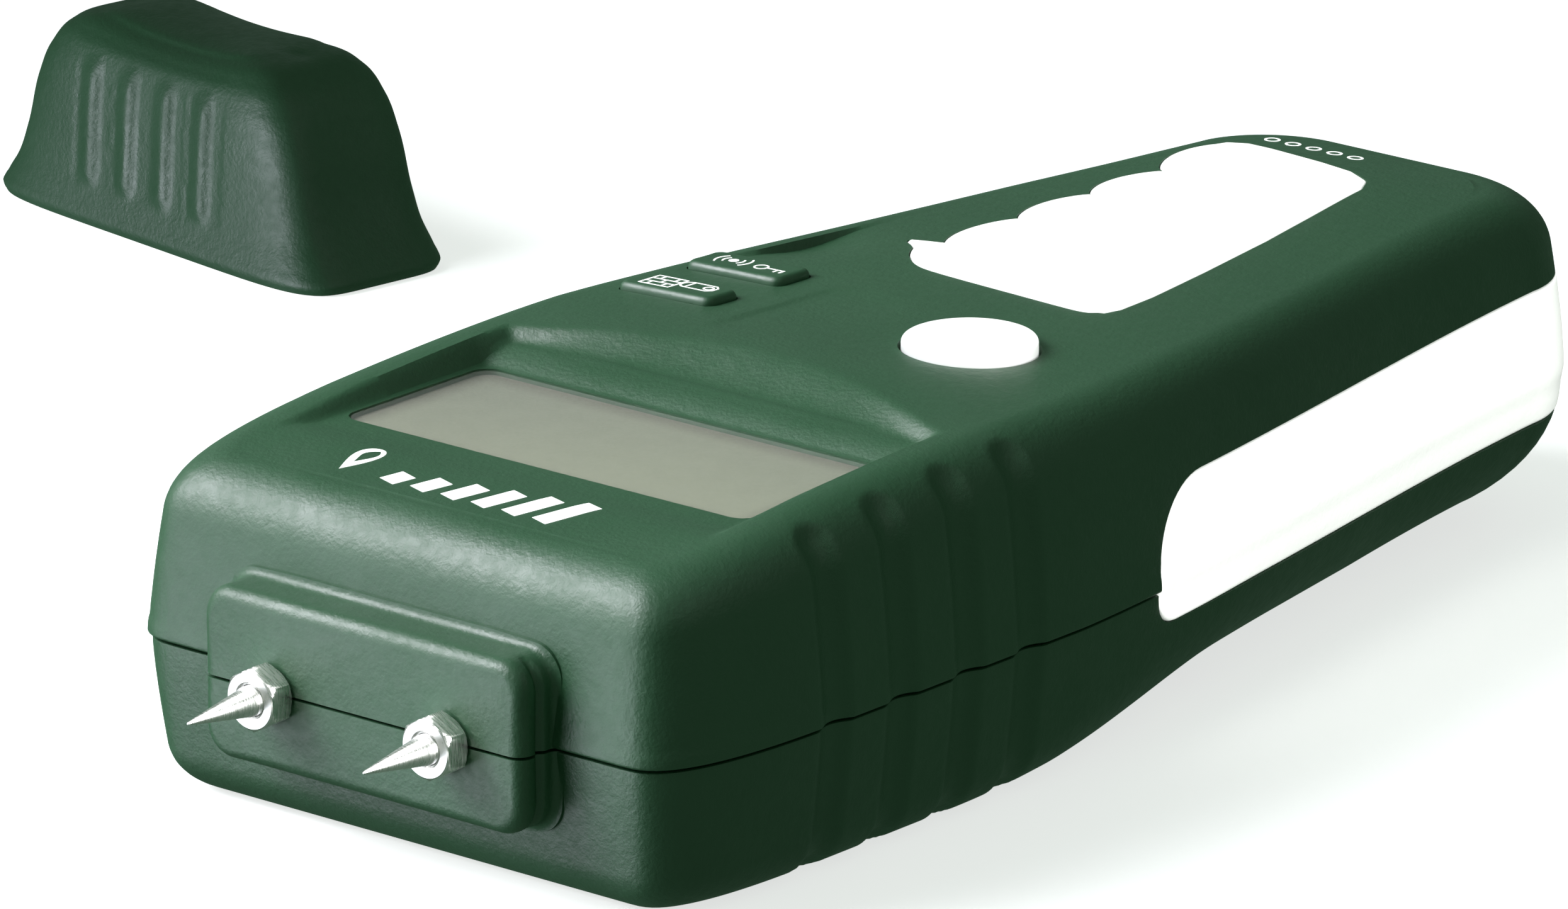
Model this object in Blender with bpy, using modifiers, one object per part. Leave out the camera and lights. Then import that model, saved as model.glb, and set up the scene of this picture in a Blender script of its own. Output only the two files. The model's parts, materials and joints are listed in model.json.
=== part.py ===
"""Pin moisture meter lying on its back, with its pin cap standing beside it.

Metres, +Z up. X runs across the meter, -Y is the way the pins point and +Z is the way
the display faces. The origin is on the underside, in the middle of the width and
77 mm behind the front end face. Dimensions below are in millimetres and are turned into metres by MM.
"""
import math

import bmesh
import bpy
from mathutils import Matrix, Vector

MM = 0.001

# --- driving dimensions, in millimetres -------------------------------------------------
FRONT_Y = -77.0            # flat end face that carries the pins
BACK_Y = 79.5              # end of the handle
HEAD_HALF = 35.0           # half width of the head
HANDLE_DROP = 13.0         # how much narrower each side is at the end of the handle
TAPER_START = -19.0        # where the head starts to narrow
PARTING_Z = 15.1           # plane where the two casing halves meet
PARTING_GAP = 0.15         # half of the gap between the casing halves
WALL = 2.5
GAP = 0.3                  # clearance between touching pieces
FRONT_CORNER = (7.5, 26.0, 2.7)    # plan corner at the front: across, along, roundness
BACK_CORNER = 12.0
TOP_RADIUS = 6.6           # shoulder between the side and the top
TOP_DRAFT = 1.45           # how far the side leans in below the shoulder
BOTTOM_STEP = 0.4          # the lower casing sits back from the upper one
BOTTOM_DRAFT = 1.0
BELLY_HEAD = 5.5           # lower edge radius on the head
BELLY_HANDLE = 14.3        # lower edge radius on the handle
BELLY_STRETCH = 0.35       # how much wider than high that edge is at the end of the handle
# height of the shoulder line and of the middle line of the top, along the length
TOP_EDGE = ((-77, 32.2), (-55, 33.3), (-25, 35.2), (-5, 34.7), (15, 34.0), (50, 33.6), (66, 33.4),
            (79.5, 33.0))
TOP_SPINE = ((-77, 32.7), (-50, 33.3), (-23, 36.2), (-10, 35.7), (10, 35.3), (45, 35.0), (65, 34.3),
             (79.5, 33.2))
DISPLAY_X, DISPLAY_Y = 24.7, (-55.9, -35.4)    # opening for the display window
RECESS_X = 25.6            # sunk field around the display
RECESS = ((-64, 32.7), (-35, 32.7), (-30.6, 34.4), (-22.5, 36.3), (-22.5, 42), (-64, 42))
BOSS_X, BOSS_Z, BOSS_Y, BOSS_CORNER = 19.46, (7.3, 24.0), -81.2, 3.5
PIN_X, PIN_TIP_Y = 10.68, -92.7
PIN_R, NUT_ACROSS, NUT_Y = 1.5, 5.5, (-84.3, -81.5)
POWER_XY, POWER_R, POWER_TOP = (12.4, -8.6), 6.5, 37.1
PADS = {"mode": (-26.0, -14.4, -14.9, -10.2), "sound": (-26.0, -14.2, -4.9, 0.4)}
GRIP_BAND_Z, GRIP_BAND_Y = (11.3, 25.2), -6.3
SKIN, SKIN_POCKET = 1.1, 1.4       # soft skins and the pockets that hold them
DOOR_X, DOOR_Y, DOOR_TOP = 14.0, 15.3, 5.0
BOARD = (24.8, -60.0, 5.0, 16.8, 18.4)
CASE_SCREWS = ((-25.5, -65.3), (25.5, -65.3), (-22.0, 11.0), (22.0, 11.0))
POST_HEIGHTS = (15.2, 15.2, 17.0, 17.0)     # of the upper casing's screw posts
POST_FEET = (1.2, 1.2, 3.6, 3.6)            # where the lower casing's screw posts start
BOARD_SCREWS = ((-20.0, -26.0), (21.5, -26.0))
BATTERY = (13.25, 20.0, 68.5, 5.0, 22.5)
CAP_CENTRE, CAP_YAW = (-148.6, 63.2), math.radians(-9.3)
# the cap's outer form, from its mouth up: height, half length, half thickness
CAP_OUTER = ((0, 27.9, 10.3), (1.2, 27.9, 10.4), (3.5, 26.2, 10.0), (8, 24.2, 9.6), (14, 22.2, 9.2),
             (18, 20.3, 8.7), (20.6, 17.6, 7.8), (22.6, 14.0, 5.8), (23.6, 10.0, 3.6))
CAP_INNER = ((-1, 19.85, 8.7), (4.9, 19.85, 8.7), (5.0, 15.5, 5.5), (20.4, 15.3, 5.3))

COLORS = {
    "casing": (0.035, 0.11, 0.075), "soft": (0.75, 0.75, 0.72), "button": (0.78, 0.78, 0.76),
    "glass": (0.55, 0.6, 0.55), "panel": (0.33, 0.34, 0.27), "frame": (0.7, 0.7, 0.68),
    "board": (0.02, 0.18, 0.07), "black": (0.02, 0.02, 0.02), "steel": (0.75, 0.75, 0.74),
    "brass": (0.7, 0.52, 0.22), "red": (0.5, 0.02, 0.02), "battery": (0.08, 0.08, 0.1),
}
METALS = ("steel", "brass")


# --- scene helpers ----------------------------------------------------------------------
def clear_scene():
    for old in list(bpy.data.objects):
        bpy.data.objects.remove(old, do_unlink=True)


def new_collection(name):
    made = bpy.data.collections.new(name)
    bpy.context.scene.collection.children.link(made)
    return made


def material(name):
    found = bpy.data.materials.get(name)
    if found:
        return found
    made = bpy.data.materials.new(name)
    made.use_nodes = True
    shader = made.node_tree.nodes["Principled BSDF"]
    shader.inputs["Base Color"].default_value = (*COLORS[name], 1.0)
    shader.inputs["Roughness"].default_value = 0.25 if name in METALS else 0.55
    shader.inputs["Metallic"].default_value = 1.0 if name in METALS else 0.0
    return made


def link_mesh(name, mesh_data, collection, slot=None):
    made = bpy.data.objects.new(name, mesh_data)
    collection.objects.link(made)
    if slot:
        made.data.materials.append(material(slot))
    if collection is CUTTERS:
        made.hide_render = True
        made.display_type = "WIRE"
    return made


def from_bmesh(name, shape, collection, slot=None):
    """Make an object of a bmesh whose coordinates are millimetres."""
    bmesh.ops.scale(shape, vec=(MM, MM, MM), verts=shape.verts)
    bmesh.ops.recalc_face_normals(shape, faces=shape.faces)
    mesh_data = bpy.data.meshes.new(name)
    shape.to_mesh(mesh_data)
    shape.free()
    return link_mesh(name, mesh_data, collection, slot)


def boolean(target, other, operation, solver="EXACT"):
    step = target.modifiers.new(other.name, "BOOLEAN")
    step.operation = operation
    step.solver = solver
    step.object = other
    return step


def cut(target, *cutters):
    for cutter in cutters:
        boolean(target, cutter, "DIFFERENCE")


def join(target, *others):
    """Union by the MANIFOLD solver: EXACT loses the thin shells where a post meets them."""
    for other in others:
        boolean(target, other, "UNION", "MANIFOLD")


# --- simple solids ----------------------------------------------------------------------
def box(name, low, high, collection, slot=None, bevel=0.0, segments=2):
    shape = bmesh.new()
    bmesh.ops.create_cube(shape, size=1.0)
    size = [high[i] - low[i] for i in range(3)]
    middle = [(high[i] + low[i]) / 2 for i in range(3)]
    bmesh.ops.scale(shape, vec=size, verts=shape.verts)
    bmesh.ops.translate(shape, vec=middle, verts=shape.verts)
    if bevel:
        bmesh.ops.bevel(shape, geom=list(shape.edges), offset=bevel, segments=segments, affect="EDGES")
    return from_bmesh(name, shape, collection, slot)


def rod(name, centre, axis, length, radius, collection, slot=None, sides=24, tip_radius=None):
    """A cylinder or cone from centre along axis, radius first and tip_radius last."""
    shape = bmesh.new()
    last = radius if tip_radius is None else tip_radius
    bmesh.ops.create_cone(shape, cap_ends=True, segments=sides, radius1=radius, radius2=last, depth=length)
    turn = Vector((0, 0, 1)).rotation_difference(Vector(axis)).to_matrix().to_4x4()
    place = Matrix.Translation(Vector(centre) + Vector(axis) * length / 2) @ turn
    bmesh.ops.transform(shape, matrix=place, verts=shape.verts)
    return from_bmesh(name, shape, collection, slot)


def prism(name, outline, low, high, collection, slot=None, along="Z"):
    """Extrude a closed outline: (x, y) points along Z, (y, z) along X or (x, z) along Y."""
    places = {"Z": lambda a, b, c: (a, b, c), "X": lambda a, b, c: (c, a, b), "Y": lambda a, b, c: (a, c, b)}
    shape = bmesh.new()
    rows = [[shape.verts.new(places[along](a, b, level)) for a, b in outline] for level in (low, high)]
    shape.faces.new(rows[0])
    shape.faces.new(rows[1])
    count = len(outline)
    for i in range(count):
        j = (i + 1) % count
        shape.faces.new((rows[0][i], rows[0][j], rows[1][j], rows[1][i]))
    return from_bmesh(name, shape, collection, slot)


def wire(name, points, radius, slot):
    """A short round lead through the given points, as a welded mesh."""
    path = bpy.data.curves.new(name, "CURVE")
    path.dimensions = "3D"
    path.bevel_depth = radius * MM
    path.bevel_resolution = 2
    path.use_fill_caps = True
    line = path.splines.new("POLY")
    line.points.add(len(points) - 1)
    for slot_point, point in zip(line.points, points):
        slot_point.co = (*[value * MM for value in point], 1.0)
    temporary = bpy.data.objects.new(name + "_path", path)
    PARTS.objects.link(temporary)
    graph = bpy.context.evaluated_depsgraph_get()
    mesh_data = bpy.data.meshes.new_from_object(temporary.evaluated_get(graph))
    bpy.data.objects.remove(temporary, do_unlink=True)
    shape = bmesh.new()
    shape.from_mesh(mesh_data)
    bmesh.ops.remove_doubles(shape, verts=shape.verts, dist=0.00001)
    bmesh.ops.recalc_face_normals(shape, faces=shape.faces)
    shape.to_mesh(mesh_data)
    shape.free()
    mesh_data.materials.clear()
    return link_mesh(name, mesh_data, PARTS, slot)


# --- the body's form --------------------------------------------------------------------
def smooth(t):
    t = min(1.0, max(0.0, t))
    return t * t * (3 - 2 * t)


def along(table, y):
    """Smooth value at y of a table of (y, value) pairs."""
    for (y0, v0), (y1, v1) in zip(table, table[1:]):
        if y <= y1:
            return v0 + (v1 - v0) * smooth((y - y0) / (y1 - y0))
    return table[-1][1]


def half_width(y):
    t = min(1.0, max(0.0, (y - TAPER_START) / (BACK_Y - TAPER_START)))
    return HEAD_HALF - HANDLE_DROP * (0.45 * t + 0.55 * smooth(t))


FRONT_STEPS, BACK_STEPS = 7, 4
SIDE_Y = [-51, -42, -30, -18, -5.5, 6, 18, 30, 42, 54]


def plan_point(index, inset):
    """Point of the right half of the plan outline, front to back, drawn in by inset."""
    across, length, power = FRONT_CORNER
    if index < FRONT_STEPS:
        turn = math.pi / 2 * index / FRONT_STEPS
        a, b = across - 0.44 * inset, length - inset
        x = HEAD_HALF - inset - a + a * math.sin(turn) ** (2 / power)
        return x, FRONT_Y + length - b * math.cos(turn) ** (2 / power)
    index -= FRONT_STEPS
    if index < len(SIDE_Y):
        return half_width(SIDE_Y[index]) - inset, SIDE_Y[index]
    turn = math.pi / 2 * (index - len(SIDE_Y)) / BACK_STEPS
    radius = BACK_CORNER - 0.5 * inset
    x = half_width(BACK_Y - BACK_CORNER) - inset - radius + radius * math.cos(turn)
    return x, BACK_Y - inset - radius + radius * math.sin(turn)


PLAN_COUNT = FRONT_STEPS + len(SIDE_Y) + BACK_STEPS + 1
ARC_STEPS = 4
ACROSS = (0.5, 0.0, -0.5)   # places of the lengthwise lines across the top and the underside


def belly_radius(y):
    return BELLY_HEAD + (BELLY_HANDLE - BELLY_HEAD) * smooth((y + 32) / 34)


def top_rings(y):
    """(inset, z) pairs of the upper casing's side and shoulder at y, parting plane first."""
    shoulder = along(TOP_EDGE, y) - TOP_RADIUS
    rings = [(0.0, PARTING_Z + PARTING_GAP), (TOP_DRAFT * 0.35, (PARTING_Z + shoulder) / 2)]
    for step in range(ARC_STEPS + 1):
        turn = math.pi / 2 * step / ARC_STEPS
        inset = TOP_DRAFT + TOP_RADIUS * (1 - math.cos(turn))
        rings.append((inset, shoulder + TOP_RADIUS * math.sin(turn)))
    return rings


def bottom_rings(y):
    """(inset, z) pairs of the lower casing at y, parting plane first and underside last."""
    radius = belly_radius(y)
    draft = BOTTOM_DRAFT * (BELLY_HANDLE - radius) / (BELLY_HANDLE - BELLY_HEAD)
    across = radius * (1 + BELLY_STRETCH * smooth((y - 5) / 45))
    rings = [(BOTTOM_STEP, PARTING_Z - PARTING_GAP)]
    for step in range(ARC_STEPS + 1):
        turn = math.pi / 2 * step / ARC_STEPS
        inset = BOTTOM_STEP + draft + across * (1 - math.cos(turn))
        rings.append((inset, radius * (1 - math.sin(turn))))
    return rings


def half_shell(name, rings_at, thickness, offset, collection, slot=None):
    """One half of the casing as a thickened bowl: the upper one for top_rings, else the lower."""
    upper = rings_at is top_rings
    shape = bmesh.new()
    last = PLAN_COUNT - 1
    grid = []
    for level in range(len(rings_at(0))):
        right = []
        for index in range(PLAN_COUNT):
            inset, z = rings_at(plan_point(index, 0)[1])[level]
            right.append((*plan_point(index, inset), z))
        left = [(-x, y, z) for x, y, z in reversed(right)]
        back = [(part * right[last][0], *right[last][1:]) for part in ACROSS]
        front = [(-part * right[0][0], *right[0][1:]) for part in ACROSS]
        grid.append([shape.verts.new(point) for point in right + back + left + front])
    for ring, following in zip(grid, grid[1:]):
        for i in range(len(ring)):
            shape.faces.new((ring[i - 1], ring[i], following[i], following[i - 1]))
    rim = grid[-1]
    rows = [[rim[0], *reversed(rim[-len(ACROSS):]), rim[-len(ACROSS) - 1]]]
    for index in range(1, last):
        right, left = rim[index], rim[-len(ACROSS) - 1 - index]
        x, y, z = right.co
        rise = along(TOP_SPINE, y) - z if upper else 0.0
        middle = [shape.verts.new((part * x, y, z + rise * (1 - part * part))) for part in ACROSS]
        rows.append([right, *middle, left])
    rows.append(rim[last:last + len(ACROSS) + 2])
    for row, following in zip(rows, rows[1:]):
        for k in range(len(row) - 1):
            shape.faces.new((row[k], row[k + 1], following[k + 1], following[k]))
    bmesh.ops.recalc_face_normals(shape, faces=shape.faces)
    shape.faces.ensure_lookup_table()
    if (shape.faces[-1].normal.z > 0) != upper:
        bmesh.ops.reverse_faces(shape, faces=shape.faces)
    bmesh.ops.scale(shape, vec=(MM, MM, MM), verts=shape.verts)
    mesh_data = bpy.data.meshes.new(name)
    shape.to_mesh(mesh_data)
    shape.free()
    made = link_mesh(name, mesh_data, collection, slot)
    solid = made.modifiers.new("wall", "SOLIDIFY")
    solid.thickness = thickness * MM
    solid.offset = offset
    solid.use_even_offset = True
    return made


def side_band(name, low_z, high_z, start_y, depth, proud, collection, slot=None):
    """U-shaped strip round both sides and the back end, from depth inside to proud outside."""
    lines = [index for index in range(PLAN_COUNT) if plan_point(index, 0)[1] >= start_y]
    levels = [low_z + (high_z - low_z) * step / 4 for step in range(5)]
    shape = bmesh.new()
    faces = []
    for distance in (depth, -proud):
        rows = []
        for z in levels:
            half = [side_point(index, z, distance) for index in lines]
            half[0] = (half[0][0], start_y, z)
            whole = half + [(-x, y, height) for x, y, height in reversed(half)]
            rows.append([shape.verts.new(point) for point in whole])
        faces.append(rows)
    inner, outer = faces
    for rows in faces:
        for row, following in zip(rows, rows[1:]):
            for i in range(len(row) - 1):
                shape.faces.new((row[i], row[i + 1], following[i + 1], following[i]))
    for end in (0, -1):
        for i in range(len(inner[0]) - 1):
            shape.faces.new((inner[end][i], inner[end][i + 1], outer[end][i + 1], outer[end][i]))
        for k in range(len(levels) - 1):
            shape.faces.new((inner[k][end], inner[k + 1][end], outer[k + 1][end], outer[k][end]))
    return from_bmesh(name, shape, collection, slot)


def side_point(index, z, depth):
    """Point at height z on the casing's side, depth millimetres inside its surface."""
    y_here = plan_point(index, 0)[1]
    rings = top_rings(y_here) if z > PARTING_Z else bottom_rings(y_here)
    inset = 0.0
    for (inset0, z0), (inset1, z1) in zip(rings, rings[1:]):
        if min(z0, z1) <= z <= max(z0, z1):
            inset = inset0 + (inset1 - inset0) * (z - z0) / (z1 - z0)
    x, y = plan_point(index, inset + depth)
    return x, y, z


# --- casing -----------------------------------------------------------------------------
def rounded_outline(x0, x1, y0, y1, radius, steps=4):
    corners = ((x1 - radius, y1 - radius, 0), (x0 + radius, y1 - radius, 1),
               (x0 + radius, y0 + radius, 2), (x1 - radius, y0 + radius, 3))
    outline = []
    for x, y, quarter in corners:
        for step in range(steps + 1):
            turn = math.pi / 2 * (quarter + step / steps)
            outline.append((x + radius * math.cos(turn), y + radius * math.sin(turn)))
    return outline


def grip_outline(grow):
    """Plan outline of the soft insert on the handle: four finger scallops on its left side."""
    outline = [(-13.6, 16.4), (-13.5, 14.6), (-11.8, 12.0), (-8.9, 9.7), (-5.0, 8.8), (3.0, 8.2), (11.5, 8.0),
               (13.7, 9.0), (14.7, 11.3), (14.3, 16.6), (12.9, 26.5), (11.0, 38.4), (7.9, 53.6), (6.8, 59.0),
               (5.3, 61.8), (2.4, 63.5), (-2.0, 64.5), (-9.5, 65.7), (-12.6, 65.9), (-14.6, 64.9)]
    for valley in (3, 2, 1, 0):
        y = 17.4 + 11.35 * valley
        for share in (0.7, 0.3):
            lean = 2.0 * share if valley == 3 else 0.0
            outline.append((-13.4 - 0.25 * valley - lean, y + 11.35 * share))
        outline.append((-11.8, y))
    grown = []
    for x, y in outline:
        away = Vector((x, y)) - Vector((-2.0, min(57.0, max(17.0, y))))
        grown.append(tuple(Vector((x, y)) + away.normalized() * grow))
    return grown


def boss_half(name, low, high):
    """Half of the end boss; the parting plane cuts its rounded outline."""
    outline = rounded_outline(-BOSS_X, BOSS_X, *BOSS_Z, BOSS_CORNER)
    half = [point for point in outline if low < point[1] < high]
    if high > BOSS_Z[1]:
        half = sorted(half, key=lambda point: -point[0])
        half = [(BOSS_X, low), *half, (-BOSS_X, low)]
    else:
        half = sorted(half, key=lambda point: point[0])
        half = [(-BOSS_X, high), *half, (BOSS_X, high)]
    return prism(name, half, BOSS_Y, FRONT_Y + WALL * 0.9, CUTTERS, along="Y")


def boss_cutters():
    """Holes for both pins and the snap groove down each flank of the boss."""
    made = []
    for side, word in ((-1, "left"), (1, "right")):
        start = (side * PIN_X, -85, PARTING_Z)
        made.append(rod(word + "_pin_hole", start, (0, 1, 0), 12, PIN_R + 0.5, CUTTERS))
        inner, outer = side * (BOSS_X - 0.6), side * (BOSS_X + 1)
        low = (min(inner, outer), BOSS_Y + 1.6, 0)
        high = (max(inner, outer), BOSS_Y + 2.8, 30)
        made.append(box(word + "_snap_groove", low, high, CUTTERS))
    return made


def skin_slab(name, grow, depth, proud):
    """Slab that follows the top of the casing, cut to the handle insert's outline."""
    slab = half_shell(name, top_rings, depth + proud, (proud - depth) / (proud + depth), CUTTERS)
    boolean(slab, prism(name + "_outline", grip_outline(grow), 27, 42, CUTTERS), "INTERSECT")
    return slab


def trim_rim(shell, low, high):
    """Cut the thickened rim level with the parting plane."""
    cut(shell, box(shell.name + "_rim", (-50, -100, low), (50, 100, high), CUTTERS))


def top_shell(shared):
    shell = half_shell("top_shell", top_rings, WALL, -1.0, PARTS, "casing")
    trim_rim(shell, 0, PARTING_Z + PARTING_GAP + 0.01)
    foot = PARTING_Z + GAP
    posts = [rod("top_post_%d" % n, (x, y, foot), (0, 0, 1), POST_HEIGHTS[n], 3.3, CUTTERS, sides=16)
             for n, (x, y) in enumerate(CASE_SCREWS)]
    join(shell, *posts, boss_half("boss_upper", PARTING_Z + PARTING_GAP, BOSS_Z[1] + 1))
    holes = [rod("top_post_hole_%d" % n, (x, y, PARTING_Z), (0, 0, 1), 10.5, 1.6, CUTTERS, sides=12)
             for n, (x, y) in enumerate(CASE_SCREWS)]
    recess = prism("display_recess", RECESS, -RECESS_X, RECESS_X, CUTTERS, along="X")
    opening = rounded_outline(-DISPLAY_X, DISPLAY_X, *DISPLAY_Y, 2.0)
    window = prism("display_opening", opening, 25, 40, CUTTERS)
    power = rod("power_hole", (*POWER_XY, 25), (0, 0, 1), 15, POWER_R + 0.4, CUTTERS, sides=32)
    pads = []
    for name, (x0, x1, y0, y1) in PADS.items():
        outline = rounded_outline(x0 - 0.4, x1 + 0.4, y0 - 0.4, y1 + 0.4, 1.2, 2)
        pads.append(prism(name + "_hole", outline, 25, 42, CUTTERS))
    pocket = skin_slab("handle_pocket", GAP, SKIN_POCKET, 1.5)
    cut(shell, *holes, recess, window, power, *pads, pocket, *shared)


def bottom_shell(shared):
    shell = half_shell("bottom_shell", bottom_rings, WALL, -1.0, PARTS, "casing")
    trim_rim(shell, PARTING_Z - PARTING_GAP - 0.01, 40)
    top = PARTING_Z - GAP
    posts = [rod("bottom_post_%d" % n, (x, y, foot), (0, 0, 1), top - foot, 3.6, CUTTERS, sides=16)
             for n, ((x, y), foot) in enumerate(zip(CASE_SCREWS, POST_FEET))]
    rests = [rod("board_post_%d" % n, (x, y, 1.2), (0, 0, 1), BOARD[3] - 1.5, 3.0, CUTTERS, sides=16)
             for n, (x, y) in enumerate(BOARD_SCREWS)]
    join(shell, *posts, *rests, boss_half("boss_lower", BOSS_Z[0] - 1, PARTING_Z - PARTING_GAP))
    cutters = []
    for n, (x, y) in enumerate(CASE_SCREWS):
        cutters.append(rod("screw_hole_%d" % n, (x, y, 7), (0, 0, 1), 10, 1.6, CUTTERS, sides=12))
        cutters.append(rod("counterbore_%d" % n, (x, y, -1), (0, 0, 1), 9, 3.0, CUTTERS, sides=16))
    for n, (x, y) in enumerate(BOARD_SCREWS):
        cutters.append(rod("board_hole_%d" % n, (x, y, 8), (0, 0, 1), 10, 1.3, CUTTERS, sides=12))
    doorway = box("doorway", (-DOOR_X - GAP, DOOR_Y - GAP, -1), (DOOR_X + GAP, 80, DOOR_TOP + GAP), CUTTERS)
    cut(shell, *cutters, doorway, *shared)


def battery_door():
    door = half_shell("battery_door", bottom_rings, WALL, -1.0, PARTS, "casing")
    keep = box("door_outline", (-DOOR_X, DOOR_Y, 0.25), (DOOR_X, 80, DOOR_TOP), CUTTERS)
    boolean(door, keep, "INTERSECT")
    root = box("door_tongue_root", (-9, DOOR_Y + 0.4, 1.5), (9, 18.5, 3.9), CUTTERS)
    tongue = box("door_tongue", (-9, 12.0, WALL + GAP), (9, 18.0, 3.9), CUTTERS)
    join(door, root, tongue)


def soft_skins():
    low, high = GRIP_BAND_Z
    side_band("side_grip", low, high, GRIP_BAND_Y, SKIN, 0.0, PARTS, "soft")
    slab = skin_slab("handle_grip", 0.0, SKIN, 0.001)
    CUTTERS.objects.unlink(slab)
    PARTS.objects.link(slab)
    slab.hide_render = False
    slab.display_type = "TEXTURED"
    slab.data.materials.append(material("soft"))


# --- electronics and controls -----------------------------------------------------------
def display():
    x, (y0, y1) = DISPLAY_X - GAP, DISPLAY_Y
    outline = rounded_outline(-x, x, y0 + GAP, y1 - GAP, 1.8)
    prism("display_window", outline, 30.1, 32.5, PARTS, "glass")
    box("display_panel", (-26.5, -57.5, 27.6), (26.5, -33.8, 29.8), PARTS, "panel")
    holder = box("display_holder", (-27.3, -59.0, 18.7), (27.3, -32.5, 27.3), PARTS, "frame")
    cut(holder, box("holder_inside", (-24.0, -55.5, 18), (24.0, -36.0, 28), CUTTERS))
    box("zebra_connector", (-22.0, -38.6, 18.7), (22.0, -36.4, 27.3), PARTS, "black")


def board():
    half, y0, y1, z0, z1 = BOARD
    made = box("circuit_board", (-half, y0, z0), (half, y1, z1), PARTS, "board")
    for n, (x, y) in enumerate(BOARD_SCREWS):
        cut(made, rod("board_screw_way_%d" % n, (x, y, 15), (0, 0, 1), 6, 1.5, CUTTERS, sides=16))
        screw("board_screw_%d" % (n + 1), (x, y, z1 + GAP), (0, 0, -1), 2.2, 1.4, 1.0, 8.0)
    box("main_chip", (-15, -27, z1 + GAP), (-3, -15, z1 + 2.1), PARTS, "black", 0.3, 1)
    rod("buzzer", (13.0, -20.5, z1 + GAP), (0, 0, 1), 5.0, 5.6, PARTS, "black")
    for name, (x, y) in button_centres().items():
        box(name + "_switch", (x - 3, y - 3, z1 + GAP), (x + 3, y + 3, 22.9), PARTS, "black", 0.4, 1)


def button_centres():
    centres = {name: ((x0 + x1) / 2, (y0 + y1) / 2) for name, (x0, x1, y0, y1) in PADS.items()}
    return {"power": POWER_XY, **centres}


def screw(name, head_centre, axis, head_radius, head_height, shank_radius, length):
    """A screw whose shank runs from the underside of its head along axis."""
    made = rod(name, head_centre, [-a for a in axis], head_height, head_radius, PARTS, "steel", 20)
    start = Vector(head_centre) - Vector(axis) * 0.2
    join(made, rod(name + "_shank", start, axis, length, shank_radius, CUTTERS, sides=12))
    slot_x = box(name + "_slot", (-head_radius, -0.35, -0.35), (head_radius, 0.35, 0.35), CUTTERS)
    slot_y = box(name + "_cross", (-0.35, -head_radius, -0.35), (0.35, head_radius, 0.35), CUTTERS)
    for piece in (slot_x, slot_y):
        piece.location = (Vector(head_centre) - Vector(axis) * head_height) * MM
    cut(made, slot_x, slot_y)
    return made


def buttons():
    x, y = POWER_XY
    cap = rod("power_button", (x, y, 30.0), (0, 0, 1), POWER_TOP - 30.0, POWER_R, PARTS, "button", 32)
    flange = rod("power_flange", (x, y, 29.6), (0, 0, 1), 1.2, POWER_R + 0.8, CUTTERS, sides=32)
    stem = rod("power_stem", (x, y, 23.9), (0, 0, 1), 6.5, 2.0, CUTTERS, sides=16)
    join(cap, flange, stem)
    for name, (x0, x1, y0, y1) in PADS.items():
        middle_x, middle_y = button_centres()[name]
        pad = box(name + "_button", (x0, y0, 29.6), (x1, y1, 35.9), PARTS, "casing", 0.6, 2)
        rim = box(name + "_flange", (x0 + 1.8, y0 - 1.0, 29.3), (x1, y1 + 1.0, 30.4), CUTTERS)
        stem = rod(name + "_stem", (middle_x, middle_y, 23.9), (0, 0, 1), 6.5, 2.0, CUTTERS, sides=16)
        join(pad, rim, stem)


def pins():
    for side, word in ((-1, "left"), (1, "right")):
        x = side * PIN_X
        pin = rod(word + "_pin", (x, -84.3, PARTING_Z), (0, 1, 0), 14.6, PIN_R, PARTS, "steel")
        join(pin, rod(word + "_pin_point", (x, -84.2, PARTING_Z), (0, -1, 0), -84.2 - PIN_TIP_Y, 1.4, CUTTERS,
                      tip_radius=0.12))
        nut = rod(word + "_pin_nut", (x, NUT_Y[0], PARTING_Z), (0, 1, 0), NUT_Y[1] - NUT_Y[0],
                  NUT_ACROSS / 2 / math.cos(math.pi / 6), PARTS, "steel", 6)
        cut(nut, rod(word + "_nut_bore", (x, -86, PARTING_Z), (0, 1, 0), 6, PIN_R + GAP, CUTTERS))
        socket = rod(word + "_pin_socket", (x, -73.0, PARTING_Z), (0, 1, 0), 8.6, 3.0, PARTS, "brass")
        cut(socket, rod(word + "_socket_bore", (x, -75, PARTING_Z), (0, 1, 0), 6.6, PIN_R + GAP, CUTTERS))
        route = [(x, -64.1, 14.4), (x, -62.2, 13.6), (x, -58.5, 13.4), (x, -56.6, 14.4), (x, -56.2, 16.4)]
        wire(word + "_pin_lead", route, 0.6, "red")


def power_supply():
    half, y0, y1, z0, z1 = BATTERY
    box("battery", (-half, y0, z0), (half, y1, z1), PARTS, "battery", 1.5, 2)
    box("battery_snap", (-12.5, 12.6, 6.0), (12.5, y0 - GAP, 20.0), PARTS, "black", 0.6, 1)
    for side, word in ((-1, "red"), (1, "black")):
        x = side * 7.0
        route = [(x, 12.3, 15.2), (x, 10.0, 15.6), (x, 7.5, 17.6), (x, 5.3, 17.6)]
        wire("battery_lead_" + word, route, 0.7, word)


def case_screws():
    for n, (x, y) in enumerate(CASE_SCREWS):
        screw("case_screw_%d" % (n + 1), (x, y, 7.7), (0, 0, 1), 2.6, 1.8, 1.2, 16.0)


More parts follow.
